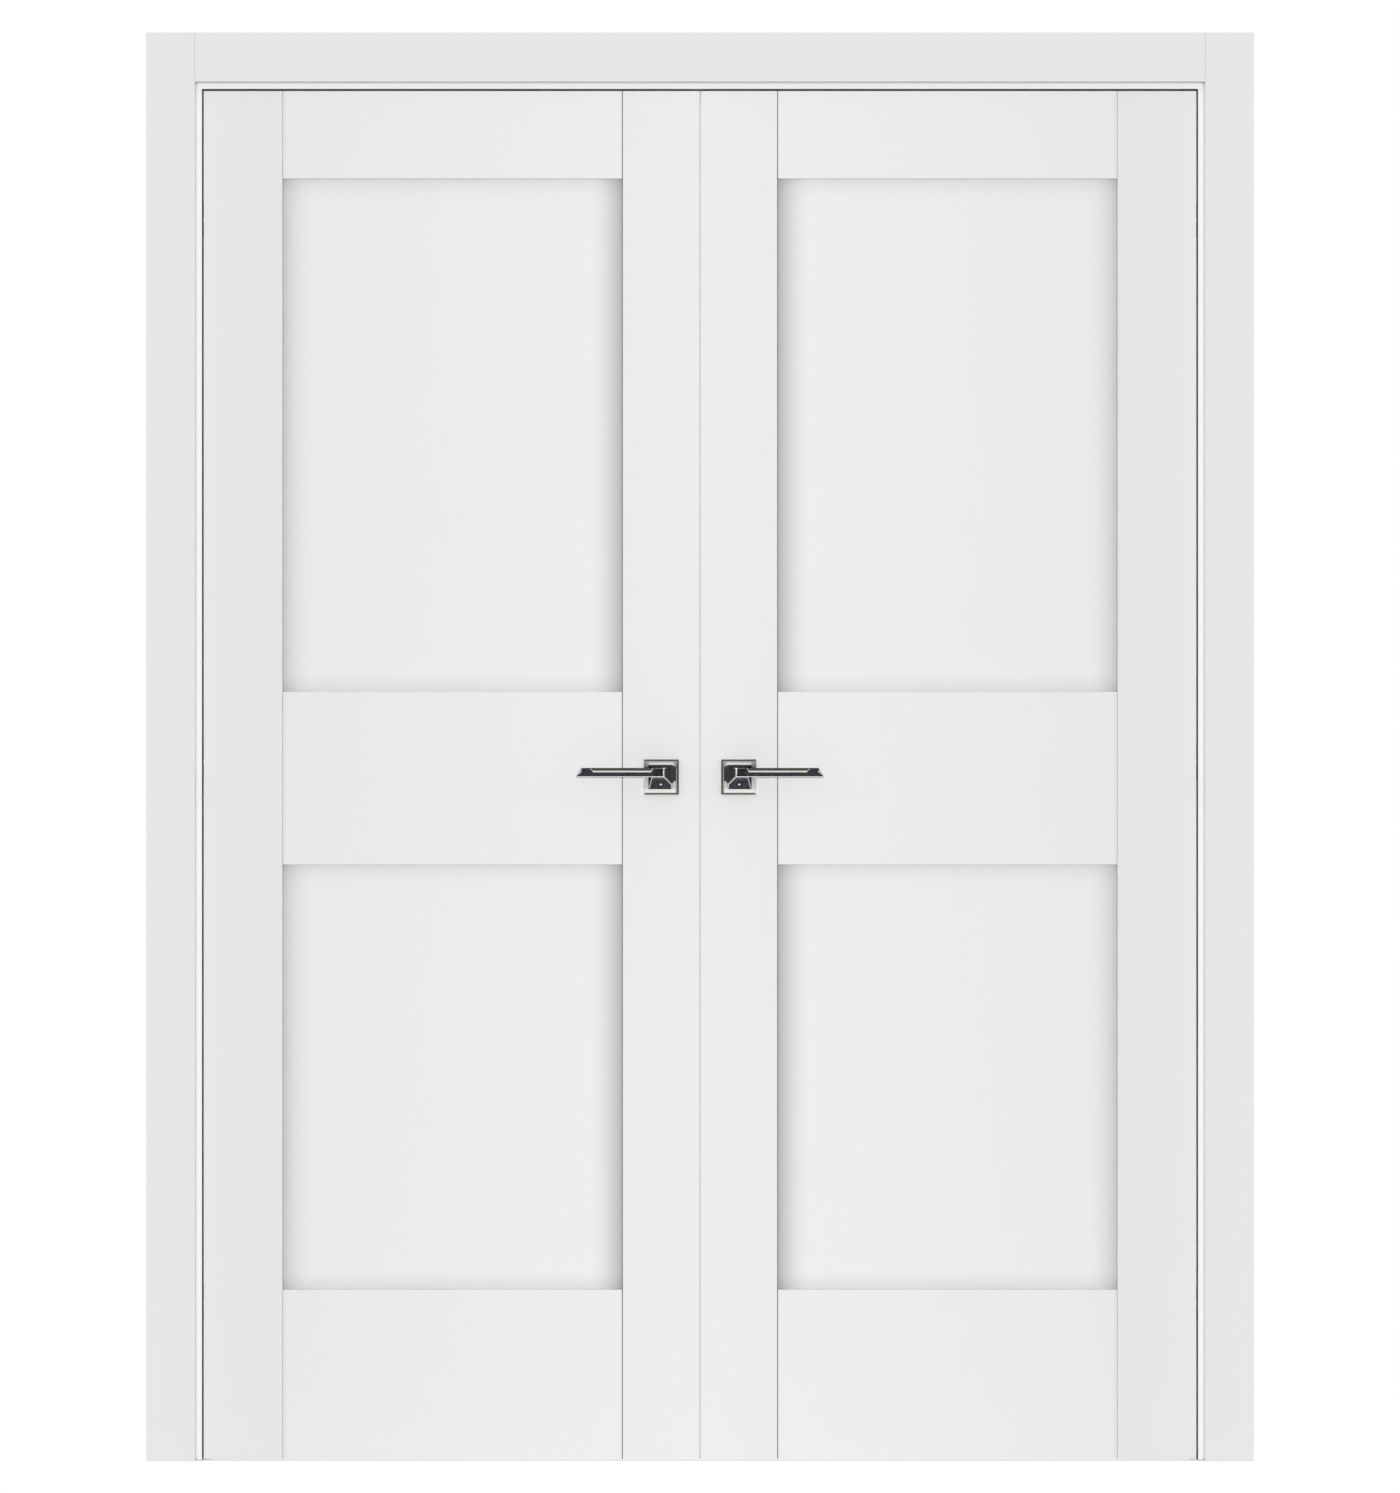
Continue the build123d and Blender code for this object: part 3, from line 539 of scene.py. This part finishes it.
def neck_painted_reflection(tree, tone, height):
    """Painted reflections on the neck's front: lighter just under the bar, dark over it."""
    near_bar = spread_value(tree, height, 0.0, 1.0, LEVER_Z - UNDER_BAR_REACH, LEVER_Z)
    near_bar = times(tree, near_bar, below(tree, height, LEVER_Z))
    colour = mixed(tree, near_bar, tone["neck"], tone["under_bar"])
    return mixed(tree, above(tree, height, OVER_BAR_Z), colour, tone["heel"])


def inlay_edge_highlight(tree, facing, along, height):
    """1 on the strip of the upper facet that runs along the inlay's lower edge, where a highlight is
    painted.
    """
    upper_facet = times(tree, above(tree, facing["Z"], FACING_UP),
                        above(tree, size_of(tree, facing["Y"]), FACING_OUT))
    strip = times(tree, between(tree, along, INLAY_HEEL[0], INLAY_TOE[0]),
                  between(tree, height, STRIP_LOW_Z, STRIP_TOP_Z))
    return times(tree, upper_facet, strip)


def painted_edge_highlights(tree, along, height, depth, on_neck):
    """1 where highlights are painted: along the edges down the neck and up the heel, and along the bar's
    lower edge.
    """
    down_neck = times(tree, on_neck, below(tree, height, RIDGE_LOW_Z))
    up_heel = between(tree, along, HEEL_X - HEEL_HALF, HEEL_X + HEEL_HALF)
    off_plinth = above(tree, depth, PLINTH_HALF_DEPTH)
    ridges = times(tree, edge_line(tree), times(tree, larger(tree, down_neck, up_heel), off_plinth))
    low_edge = minus(tree, below(tree, height, LOW_EDGE_Z), on_neck)
    return larger(tree, ridges, low_edge)


def chrome_painted_reflections():
    """Polished chrome with painted reflections: deep cool facets in front, a painted light tip and painted
    bright edges.
    """
    material, tree, principled = shader("polished_chrome")
    smudge = noise(tree, SMUDGE_SCALE, EVEN, FULL_DETAIL)
    tone = tones_of(tree, smudge, CHROME_PAINTED_REFLECTIONS)
    facing = axes_of(tree, "Normal")
    place = axes_of(tree, "Object")
    along = size_of(tree, place["X"])
    height = place["Z"]
    depth = size_of(tree, minus(tree, place["Y"], LEAF_MID_Y))
    on_neck = below(tree, depth, BAR_HALF_DEPTH)
    sideways = above(tree, size_of(tree, facing["X"]), FACING_ASIDE)
    toeward = above(tree, times(tree, facing["X"], place["X"]), FACING_TOE)
    tip = times(tree, toeward, above(tree, facing["Z"], FACING_UP))
    # Each facet's colour by its place and the way it faces: painted reflections, and painted highlights on
    # the tip, the inlay's edge and the sharp edges
    colour = mixed(tree, on_neck, bar_painted_reflection(tree, tone, along, height), neck_painted_reflection(tree, tone, height))
    colour = mixed(tree, sideways, colour, tone["aside"])
    colour = mixed(tree, times(tree, toeward, on_neck), colour, tone["toe"])
    colour = mixed(tree, tip, colour, tone["tip"])
    colour = mixed(tree, inlay_edge_highlight(tree, facing, along, height), colour, tone["bright"])
    colour = mixed(tree, painted_edge_highlights(tree, along, height, depth, on_neck), colour, tone["bright"])
    coat(tree, principled, colour, smudge, CHROME_ROUGHNESS)
    principled.inputs["Metallic"].default_value = 1.0
    principled.inputs["Specular Tint"].default_value = (*GRAZING_CHROME, 1)
    return material


# The inlay's height, and the painted reflection up it: tones, each with its share of the way from the lower
# edge to the upper
INLAY_LOW_Z = LEVER_Z + 0.0084
INLAY_HIGH_Z = LEVER_Z + 0.0131
INLAY_HIGHLIGHT = (0.66, 0.64, 0.61)
INLAY_PAINTED_REFLECTION = (
    (0.08, INLAY_HIGHLIGHT),
    (0.28, (0.19, 0.18, 0.16)),
    (0.60, (0.052, 0.047, 0.036)),
    (1.00, (0.15, 0.14, 0.12)),
)
INLAY_HIGHLIGHT_WIDTH = 0.0012
INLAY_HIGHLIGHT_SHARES = (0.9, 1.0)
STREAK_SHARES = (0.8, 1.1)
CHAMPAGNE_ROUGHNESS = (0.22, 0.32)


def brushed_champagne():
    """Brushed champagne strip with a painted reflection deepest above its middle, and painted highlights
    along its lower edge and slanted ends.
    """
    material, tree, principled = shader("champagne_inlay")
    marks = noise(tree, BRUSHED_SCALE, ALONG_X)
    place = axes_of(tree, "Object")
    along = size_of(tree, place["X"])
    height = spread_value(tree, place["Z"], 0.0, 1.0, INLAY_LOW_Z, INLAY_HIGH_Z)
    from_heel = minus(tree, along, spread_value(tree, height, *INLAY_HEEL))
    from_toe = minus(tree, spread_value(tree, height, *INLAY_TOE), along)
    inside = math_node(tree, "MINIMUM", from_heel, from_toe)
    rim = toned(tree, marks, INLAY_HIGHLIGHT, INLAY_HIGHLIGHT_SHARES)
    past_ends = toned(tree, marks, *CHROME_PAINTED_REFLECTIONS["under"])
    # Painted reflection up the strip, a painted highlight along its slanted ends, and past them the chrome's
    # painted reflection
    colour = shaded(tree, ramp(tree, height, INLAY_PAINTED_REFLECTION), toned(tree, marks, WHITE, STREAK_SHARES))
    colour = mixed(tree, below(tree, inside, INLAY_HIGHLIGHT_WIDTH), colour, rim)
    colour = mixed(tree, below(tree, inside, 0.0), colour, past_ends)
    coat(tree, principled, colour, marks, CHAMPAGNE_ROUGHNESS)
    principled.inputs["Metallic"].default_value = 1.0
    bump(tree, principled, marks, BRUSHED_DEPTH)
    return material


# The rose's nickel: painted reflections and highlights as tones, and the shares between which its marks vary
# them
ROSE_PAINTED_REFLECTIONS = {
    "bright": ((0.86, 0.845, 0.81), (0.93, 1.0)),
    "light": ((0.64, 0.63, 0.60), (0.93, 1.05)),
    "middle": ((0.34, 0.33, 0.31), (0.85, 1.1)),
    "dark": ((0.125, 0.119, 0.110), (0.8, 1.0)),
}
ROSE_ROUGHNESS = (0.24, 0.36)
FACING_CHAMFER = 0.3

# Heights on the rose from the lever's axis, and distances from its upright middle line
ROSE_TOP = 0.0236
ROSE_LIT = 0.0200
ROSE_LIT_FROM = 0.0160
ROSE_UPPER = 0.0125
ROSE_LOWER = -0.0172
NECK_HALF = 0.0185
NECK_SOFT = 0.0025
MEETING_STRIP = 0.0215


def rose_upper_painted_reflection(tree, tone, height, outward):
    """Painted reflections on the rose over the lever's bar: lit above the neck, dark in the corners, both
    greyer to the top.
    """
    lit_rise = spread_value(tree, height, 0.0, 1.0, ROSE_LIT, ROSE_TOP)
    lit = mixed(tree, lit_rise, tone["bright"], tone["middle"])
    corner_rise = spread_value(tree, height, 0.0, 1.0, ROSE_UPPER, ROSE_LIT)
    corner = mixed(tree, corner_rise, tone["dark"], tone["middle"])
    beside_neck = spread_value(tree, size_of(tree, outward), 1.0, 0.0,
                               NECK_HALF - NECK_SOFT, NECK_HALF + NECK_SOFT)
    over_neck = times(tree, above(tree, height, ROSE_LIT_FROM), beside_neck)
    return mixed(tree, over_neck, corner, lit)


def rose_nickel_painted_reflections(name, sign):
    """Satin nickel with painted reflections: bright below and just over the neck, deep in the upper corners
    and on three chamfers.
    """
    material, tree, principled = shader(name)
    marks = noise(tree, SATIN_SCALE, ALONG_Z)
    tone = tones_of(tree, marks, ROSE_PAINTED_REFLECTIONS)
    facing = axes_of(tree, "Normal")
    place = axes_of(tree, "Object")
    height = minus(tree, place["Z"], LEVER_Z)
    outward = times(tree, minus(tree, place["X"], sign * ROSE_X), sign)
    level_chamfer = above(tree, size_of(tree, facing["Z"]), FACING_CHAMFER)
    meeting_chamfer = above(tree, times(tree, facing["X"], -sign), FACING_CHAMFER)
    # Painted reflections and highlights over the rose's face and its chamfers
    colour = mixed(tree, below(tree, height, ROSE_LOWER), tone["light"], tone["bright"])
    colour = mixed(tree, below(tree, outward, -MEETING_STRIP), colour, tone["middle"])
    upper = rose_upper_painted_reflection(tree, tone, height, outward)
    colour = mixed(tree, above(tree, height, ROSE_UPPER), colour, upper)
    colour = mixed(tree, larger(tree, level_chamfer, meeting_chamfer), colour, tone["dark"])
    coat(tree, principled, colour, marks, ROSE_ROUGHNESS)
    principled.inputs["Metallic"].default_value = 1.0
    return material


nickel = metal("satin_nickel", colour=(0.58, 0.565, 0.53), roughness=(0.26, 0.36), scale=SATIN_SCALE,
               shade_share=0.92, stretch=ALONG_Z, depth=BRUSHED_DEPTH)
zinc = metal("hinge_zinc", colour=(0.22, 0.22, 0.21), roughness=(0.40, 0.52), scale=CAST_SCALE,
             shade_share=0.85, depth=CAST_DEPTH)
steel = metal("plated_steel", colour=(0.62, 0.62, 0.62), roughness=(0.28, 0.38), scale=PLATED_SCALE,
              shade_share=0.9)
# Near-black for a screw head's cross: painted shade standing in for the recess
painted_recess_shade = metal("painted_recess_shade", colour=(0.06, 0.06, 0.06), roughness=(0.45, 0.6), scale=SATIN_SCALE,
                     shade_share=0.8)
screw_nickel = metal("screw_nickel", colour=(0.97, 0.97, 0.96), roughness=(0.42, 0.50), scale=SATIN_SCALE,
                     shade_share=0.98)


# Soft strips

GRIT_SCALE = 1200.0
GRIT_SHARES = (0.93, 1.0)
GRIT_DEPTH = 0.00003
RUBBER_ROUGHNESS = (0.55, 0.7)
GASKET_GREY = (0.50, 0.49, 0.46)
SEAL_WHITE = (0.80, 0.80, 0.79)


def rubber(name, colour):
    """Soft strip with a fine dusty surface."""
    material, tree, principled = shader(name)
    grit = noise(tree, GRIT_SCALE, EVEN, FULL_DETAIL)
    coat(tree, principled, toned(tree, grit, colour, GRIT_SHARES), grit, RUBBER_ROUGHNESS)
    bump(tree, principled, grit, GRIT_DEPTH)
    return material


# Finish of every node of the part

def shared_finishes():
    """Finishes by a node's name without its side; what isn't named here is plated steel."""
    jamb = lacquer("jamb_lacquer", JAMB_WHITE, UPRIGHT, JAMB_CORNER)
    head_jamb = lacquer("head_jamb_lacquer", JAMB_WHITE, LYING, HEAD_JAMB_CORNER)
    casing = casing_paint()
    head_casing = lacquer("head_casing_lacquer", HEAD_WHITE, LYING, OPEN_CORNER)
    gasket = rubber("gasket_rubber", GASKET_GREY)
    seal = rubber("seal_silicone", SEAL_WHITE)
    chrome = chrome_painted_reflections()
    return {
        "jamb": jamb,
        "head_jamb": head_jamb,
        "front_casing": casing,
        "back_casing": casing,
        "front_head_casing": head_casing,
        "back_head_casing": head_casing,
        "gasket": gasket,
        "head_gasket": gasket,
        "meeting_seal": seal,
        "front_lever": chrome,
        "back_lever": chrome,
        "lever_inlays": brushed_champagne(),
        "latch_case": nickel,
        "latch_bolt": nickel,
        "strike_plate": nickel,
        "head_strike": nickel,
        "flush_bolt_case": nickel,
        "flush_bolt": nickel,
        "hinge_arms": zinc,
        "frame_hinge_cups": zinc,
        "leaf_hinge_cups": zinc,
        "rose_bases": zinc,
    }


def sided_finishes():
    """Finishes that differ from side to side, by the node's name."""
    finishes = leaf_paints()
    for side, sign in SIDES:
        rose = rose_nickel_painted_reflections(f"{side}_rose_nickel_painted_reflections", sign)
        finishes[f"{side}_front_rose"] = rose
        finishes[f"{side}_back_rose"] = rose
    return finishes


def without_side(name):
    """A node's name without the word for its side."""
    for side, _ in SIDES:
        name = name.removeprefix(f"{side}_")
    return name


METAL_EDGE = 0.00025
WELD_DISTANCE = 0.00001
EDGE_ANGLE = math.radians(35)
EDGE_SEGMENTS = 2
ROUNDED = ("lever", "inlays", "rose", "case", "plate")


def soften(piece, width):
    """Round the sharp edges of a piece a little, so that they catch the light."""
    weld = piece.modifiers.new("weld", "WELD")
    weld.merge_threshold = WELD_DISTANCE
    bevel = piece.modifiers.new("soft_edges", "BEVEL")
    bevel.width = width
    bevel.segments = EDGE_SEGMENTS
    bevel.limit_method = "ANGLE"
    bevel.angle_limit = EDGE_ANGLE
    bevel.harden_normals = True


def finish_nodes():
    """Give every node of the part its finish, and soft edges to the metal that shows."""
    shared = shared_finishes()
    sided = sided_finishes()
    for name, node in nodes.items():
        material = sided[name] if name in sided else shared.get(without_side(name), steel)
        node.data.materials.clear()
        node.data.materials.append(material)
        if any(word in name for word in ROUNDED):
            soften(node, METAL_EDGE)


# Small fasteners that the part leaves to the scene

ROUND_SIDES = 24


def add_points(mesh, matrix, outline, height):
    """A closed row of points over a flat outline, set at a height along the piece's axis."""
    return [mesh.verts.new(matrix @ Vector((x, y, height))) for x, y in outline]


def add_ring(mesh, matrix, radius, height):
    """One ring of points of a turned piece, set at a height along its axis."""
    angles = [2 * math.pi * step / ROUND_SIDES for step in range(ROUND_SIDES)]
    circle = [(radius * math.cos(angle), radius * math.sin(angle)) for angle in angles]
    return add_points(mesh, matrix, circle, height)


def join_rings(mesh, first, second, slot=0):
    """Skin between two rings of the same count."""
    count = len(first)
    for step in range(count):
        after = (step + 1) % count
        face = mesh.faces.new((first[step], first[after], second[after], second[step]))
        face.material_index = slot


def cap_ring(mesh, ring, slot=0):
    """Close a ring with one face."""
    face = mesh.faces.new(ring)
    face.material_index = slot


def lean(place, outward):
    """Placement whose Z looks outward from a surface."""
    turn = Vector(outward).to_track_quat("Z", "Y").to_matrix().to_4x4()
    return Matrix.Translation(Vector(place)) @ turn


def place_piece(name, mesh, materials, body):
    """Turn a filled mesh into a piece that rides on a body."""
    data = bpy.data.meshes.new(name)
    mesh.normal_update()
    mesh.to_mesh(data)
    mesh.free()
    for material in materials:
        data.materials.append(material)
    piece = bpy.data.objects.new(name, data)
    scene.collection.objects.link(piece)
    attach(piece, body)


SET_SCREW_RADIUS = 0.0019
SET_SCREW_SUNK = 0.0004
SOCKET_RADIUS = 0.0004
SOCKET_DEPTH = 0.0002
DOME_STEPS = 4
DOME_TILT = math.radians(72)


def domed_screw(mesh, matrix):
    """A set screw's end: a bright dome with a shallow socket at its crown."""
    ring = add_ring(mesh, matrix, SET_SCREW_RADIUS, -SET_SCREW_SUNK)
    cap_ring(mesh, list(reversed(ring)))
    for step in range(DOME_STEPS + 1):
        tilt = DOME_TILT * step / DOME_STEPS
        after = add_ring(mesh, matrix, SET_SCREW_RADIUS * math.cos(tilt), SET_SCREW_RADIUS * math.sin(tilt))
        join_rings(mesh, ring, after)
        ring = after
    crown = SET_SCREW_RADIUS * math.sin(DOME_TILT)
    mouth = add_ring(mesh, matrix, SOCKET_RADIUS, crown)
    floor = add_ring(mesh, matrix, SOCKET_RADIUS, crown - SOCKET_DEPTH)
    join_rings(mesh, ring, mouth)
    join_rings(mesh, mouth, floor)
    cap_ring(mesh, floor)


# The set screw sits on the neck's lower facet, a little towards the lever's tip
SET_SCREW_ACROSS = 0.0007
SET_SCREW_Z = LEVER_Z - 0.0104
SET_SCREW_Y = -0.06295
SET_SCREW_OUTWARD = (0, -0.489, -0.872)


def make_set_screws():
    """One set screw under the neck of each lever."""
    for side, sign in SIDES:
        for face, front in (("front", 1), ("back", -1)):
            depth = LEAF_MID_Y + front * (SET_SCREW_Y - LEAF_MID_Y)
            place = (sign * (ROSE_X + SET_SCREW_ACROSS), depth, SET_SCREW_Z)
            outward = (0, front * SET_SCREW_OUTWARD[1], SET_SCREW_OUTWARD[2])
            mesh = bmesh.new()
            domed_screw(mesh, lean(place, outward))
            place_piece(f"{side}_{face}_set_screw", mesh, (screw_nickel,), f"{side}_lever")


PLATE_HEAD_RADIUS = 0.0034
HINGE_HEAD_RADIUS = 0.0043
HEAD_TOP_SHARE = 0.8
HEAD_PROUD = 0.00025
HEAD_SUNK = 0.0003
CROSS_LENGTH = 0.0017
CROSS_WIDTH = 0.00035
CROSS_LIFT = 0.00005
CROSS_THICKNESS = 0.0001

# The materials of a countersunk screw, in the order of their slots
HEAD_STEELS = (steel, painted_recess_shade)
HEAD_SLOT = 0
CROSS_SLOT = 1


def cross_recess(mesh, matrix):
    """A dark cross of painted shade that reads as a recess: a thin plate with its face just over the head.
    """
    arm, half = CROSS_LENGTH, CROSS_WIDTH
    outline = [(arm, -half), (arm, half), (half, half), (half, arm), (-half, arm), (-half, half),
               (-arm, half), (-arm, -half), (-half, -half), (-half, -arm), (half, -arm), (half, -half)]
    level = HEAD_PROUD + CROSS_LIFT
    rim = add_points(mesh, matrix, outline, level)
    low = add_points(mesh, matrix, outline, level - CROSS_THICKNESS)
    join_rings(mesh, low, rim, CROSS_SLOT)
    cap_ring(mesh, rim, CROSS_SLOT)
    cap_ring(mesh, list(reversed(low)), CROSS_SLOT)


def countersunk_head(mesh, matrix, radius):
    """A flush screw head with a low crown and a cross recess."""
    low = add_ring(mesh, matrix, radius, -HEAD_SUNK)
    rim = add_ring(mesh, matrix, radius, 0.0)
    top = add_ring(mesh, matrix, radius * HEAD_TOP_SHARE, HEAD_PROUD)
    join_rings(mesh, low, rim, HEAD_SLOT)
    join_rings(mesh, rim, top, HEAD_SLOT)
    cap_ring(mesh, top, HEAD_SLOT)
    cap_ring(mesh, list(reversed(low)), HEAD_SLOT)
    cross_recess(mesh, matrix)


def place_heads(name, spots, radius, body):
    """Countersunk screws on a body, each at a place and facing outward."""
    mesh = bmesh.new()
    for place, outward in spots:
        countersunk_head(mesh, lean(place, outward), radius)
    place_piece(name, mesh, HEAD_STEELS, body)


HINGE_HALF = 0.060
HINGE_SCREW_OFFSET = 0.047


def hinge_screw_levels():
    """The heights of the screws of the three hinges, one above and one below each hinge's middle."""
    low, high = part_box("right_leaf_hinge_cups")
    hinges = (low.z + HINGE_HALF, (low.z + high.z) / 2, high.z - HINGE_HALF)
    return [hinge + offset for hinge in hinges for offset in (-HINGE_SCREW_OFFSET, HINGE_SCREW_OFFSET)]


def make_hinge_heads():
    """Round heads over the hinge screws, in the frame and in each leaf."""
    frame_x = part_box("right_frame_hinge_cups")[0].x
    leaf_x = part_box("right_leaf_hinge_cups")[1].x
    levels = hinge_screw_levels()
    for side, sign in SIDES:
        for owner, body, plate_x, way in (
            ("frame", "frame", frame_x, -sign),
            ("leaf", f"{side}_leaf", leaf_x, sign),
        ):
            spots = [((sign * plate_x, LEAF_MID_Y, level), (way, 0, 0)) for level in levels]
            place_heads(f"{side}_{owner}_hinge_heads", spots, HINGE_HEAD_RADIUS, body)


FOREND_SCREW_OFFSET = 0.070
STRIKE_SCREW_OFFSET = 0.032
FLUSH_SCREW_OFFSET = 0.082
HEAD_STRIKE_SCREW_OFFSET = 0.0225


def edge_spots(node, offset, sign):
    """The two screws of a plate in the meeting edge of the left (-1) or the right leaf."""
    plate_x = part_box("latch_case")[0].x
    middle_z = middle_of(node).z
    return [((sign * plate_x, LEAF_MID_Y, middle_z + step), (-sign, 0, 0)) for step in (-offset, offset)]


def make_plate_screws():
    """Screws of the latch's forend, of its strike, of the flush bolt and of the head strike."""
    forend = edge_spots("latch_case", FOREND_SCREW_OFFSET, 1)
    strike = edge_spots("strike_plate", STRIKE_SCREW_OFFSET, -1)
    flush = edge_spots("flush_bolt_case", FLUSH_SCREW_OFFSET, -1)
    under_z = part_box("head_strike")[0].z
    middle_x = middle_of("head_strike").x
    head = [((middle_x + step, LEAF_MID_Y, under_z), (0, 0, -1))
            for step in (-HEAD_STRIKE_SCREW_OFFSET, HEAD_STRIKE_SCREW_OFFSET)]
    place_heads("forend_screws", forend, PLATE_HEAD_RADIUS, "right_leaf")
    place_heads("left_edge_screws", strike + flush, PLATE_HEAD_RADIUS, "left_leaf")
    place_heads("head_strike_screws", head, PLATE_HEAD_RADIUS, "frame")


# Studio: white surroundings, an even light from each of the four sides, a pale floor

FLOOR_HALF = 40.0
FLOOR_COLOUR = (0.55, 0.55, 0.55)
FLOOR_GLOW = 0.675
FLOOR_ROUGHNESS = 0.9
SHOWN_LIGHT = 1.0
WORLD_LIGHT = 0.56


def seen_directly(tree):
    """1 for what the camera, metal and glass look at, 0 for light on its way to a matt surface."""
    path = tree.nodes.new("ShaderNodeLightPath")
    seen = larger(tree, path.outputs["Is Camera Ray"], path.outputs["Is Glossy Ray"])
    return larger(tree, seen, path.outputs["Is Transmission Ray"])


def floor_paint():
    """Matt pale grey; what the camera and the metal see of it is lifted to the white of the surroundings."""
    material, tree, principled = shader("floor")
    principled.inputs["Base Color"].default_value = (*FLOOR_COLOUR, 1)
    principled.inputs["Roughness"].default_value = FLOOR_ROUGHNESS
    principled.inputs["Specular IOR Level"].default_value = 0.0
    principled.inputs["Emission Color"].default_value = (*WHITE, 1)
    tree.links.new(times(tree, seen_directly(tree), FLOOR_GLOW), principled.inputs["Emission Strength"])
    return material


def make_floor():
    """A plain pale floor under the door."""
    mesh = bpy.data.meshes.new("floor")
    corners = [(-FLOOR_HALF, -FLOOR_HALF, 0), (FLOOR_HALF, -FLOOR_HALF, 0),
               (FLOOR_HALF, FLOOR_HALF, 0), (-FLOOR_HALF, FLOOR_HALF, 0)]
    mesh.from_pydata(corners, [], [(0, 1, 2, 3)])
    floor = bpy.data.objects.new("floor", mesh)
    scene.collection.objects.link(floor)
    mesh.materials.append(floor_paint())


def white_light(tree, strength):
    """White surroundings of a strength."""
    background = tree.nodes.new("ShaderNodeBackground")
    background.inputs["Color"].default_value = (*WHITE, 1)
    background.inputs["Strength"].default_value = strength
    return background.outputs["Background"]


def make_world():
    """White surroundings; they light the door less than they show."""
    world = bpy.data.worlds.new("studio")
    scene.world = world
    world.use_nodes = True
    tree = world.node_tree
    tree.nodes.clear()
    pick = tree.nodes.new("ShaderNodeMixShader")
    out = tree.nodes.new("ShaderNodeOutputWorld")
    tree.links.new(seen_directly(tree), pick.inputs["Fac"])
    tree.links.new(white_light(tree, WORLD_LIGHT), pick.inputs[1])
    tree.links.new(white_light(tree, SHOWN_LIGHT), pick.inputs[2])
    tree.links.new(pick.outputs["Shader"], out.inputs["Surface"])


SUN_POWER = 1.665
SIDE_SUN_POWER = 1.20
SUN_RISE = math.tan(math.radians(1.6))
SUN_SPREAD = math.radians(2.8)


def make_suns():
    """An even light straight in front of the door, just above level, one behind and one at each side."""
    for name, way, power in (
        ("front_sun", (0, 1, -SUN_RISE), SUN_POWER),
        ("back_sun", (0, -1, -SUN_RISE), SUN_POWER),
        ("left_sun", (1, 0, -SUN_RISE), SIDE_SUN_POWER),
        ("right_sun", (-1, 0, -SUN_RISE), SIDE_SUN_POWER),
    ):
        data = bpy.data.lights.new(name, "SUN")
        data.energy = power
        data.angle = SUN_SPREAD
        sun = bpy.data.objects.new(name, data)
        sun.rotation_euler = Vector(way).to_track_quat("-Z", "Y").to_euler()
        sun.visible_glossy = False
        scene.collection.objects.link(sun)


def make_camera():
    """Camera square on to the door, at the photo's framing."""
    pixel = (cad_high.z - cad_low.z) / (DOOR_BOTTOM_PX - DOOR_TOP_PX)
    look_z = cad_low.z + (DOOR_BOTTOM_PX - IMAGE_HEIGHT_PX / 2) * pixel
    distance = IMAGE_HEIGHT_PX * pixel * LENS_MM / SENSOR_MM
    data = bpy.data.cameras.new("camera")
    data.lens = LENS_MM
    data.sensor_width = SENSOR_MM
    data.clip_end = FAR_CLIP
    camera = bpy.data.objects.new("camera", data)
    camera.location = (0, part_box("front_head_casing")[0].y - distance, look_z)
    camera.rotation_euler = (LEVEL_TILT, 0, 0)
    scene.collection.objects.link(camera)
    scene.camera = camera


finish_nodes()
make_set_screws()
make_hinge_heads()
make_plate_screws()
make_floor()
make_world()
make_suns()
make_camera()
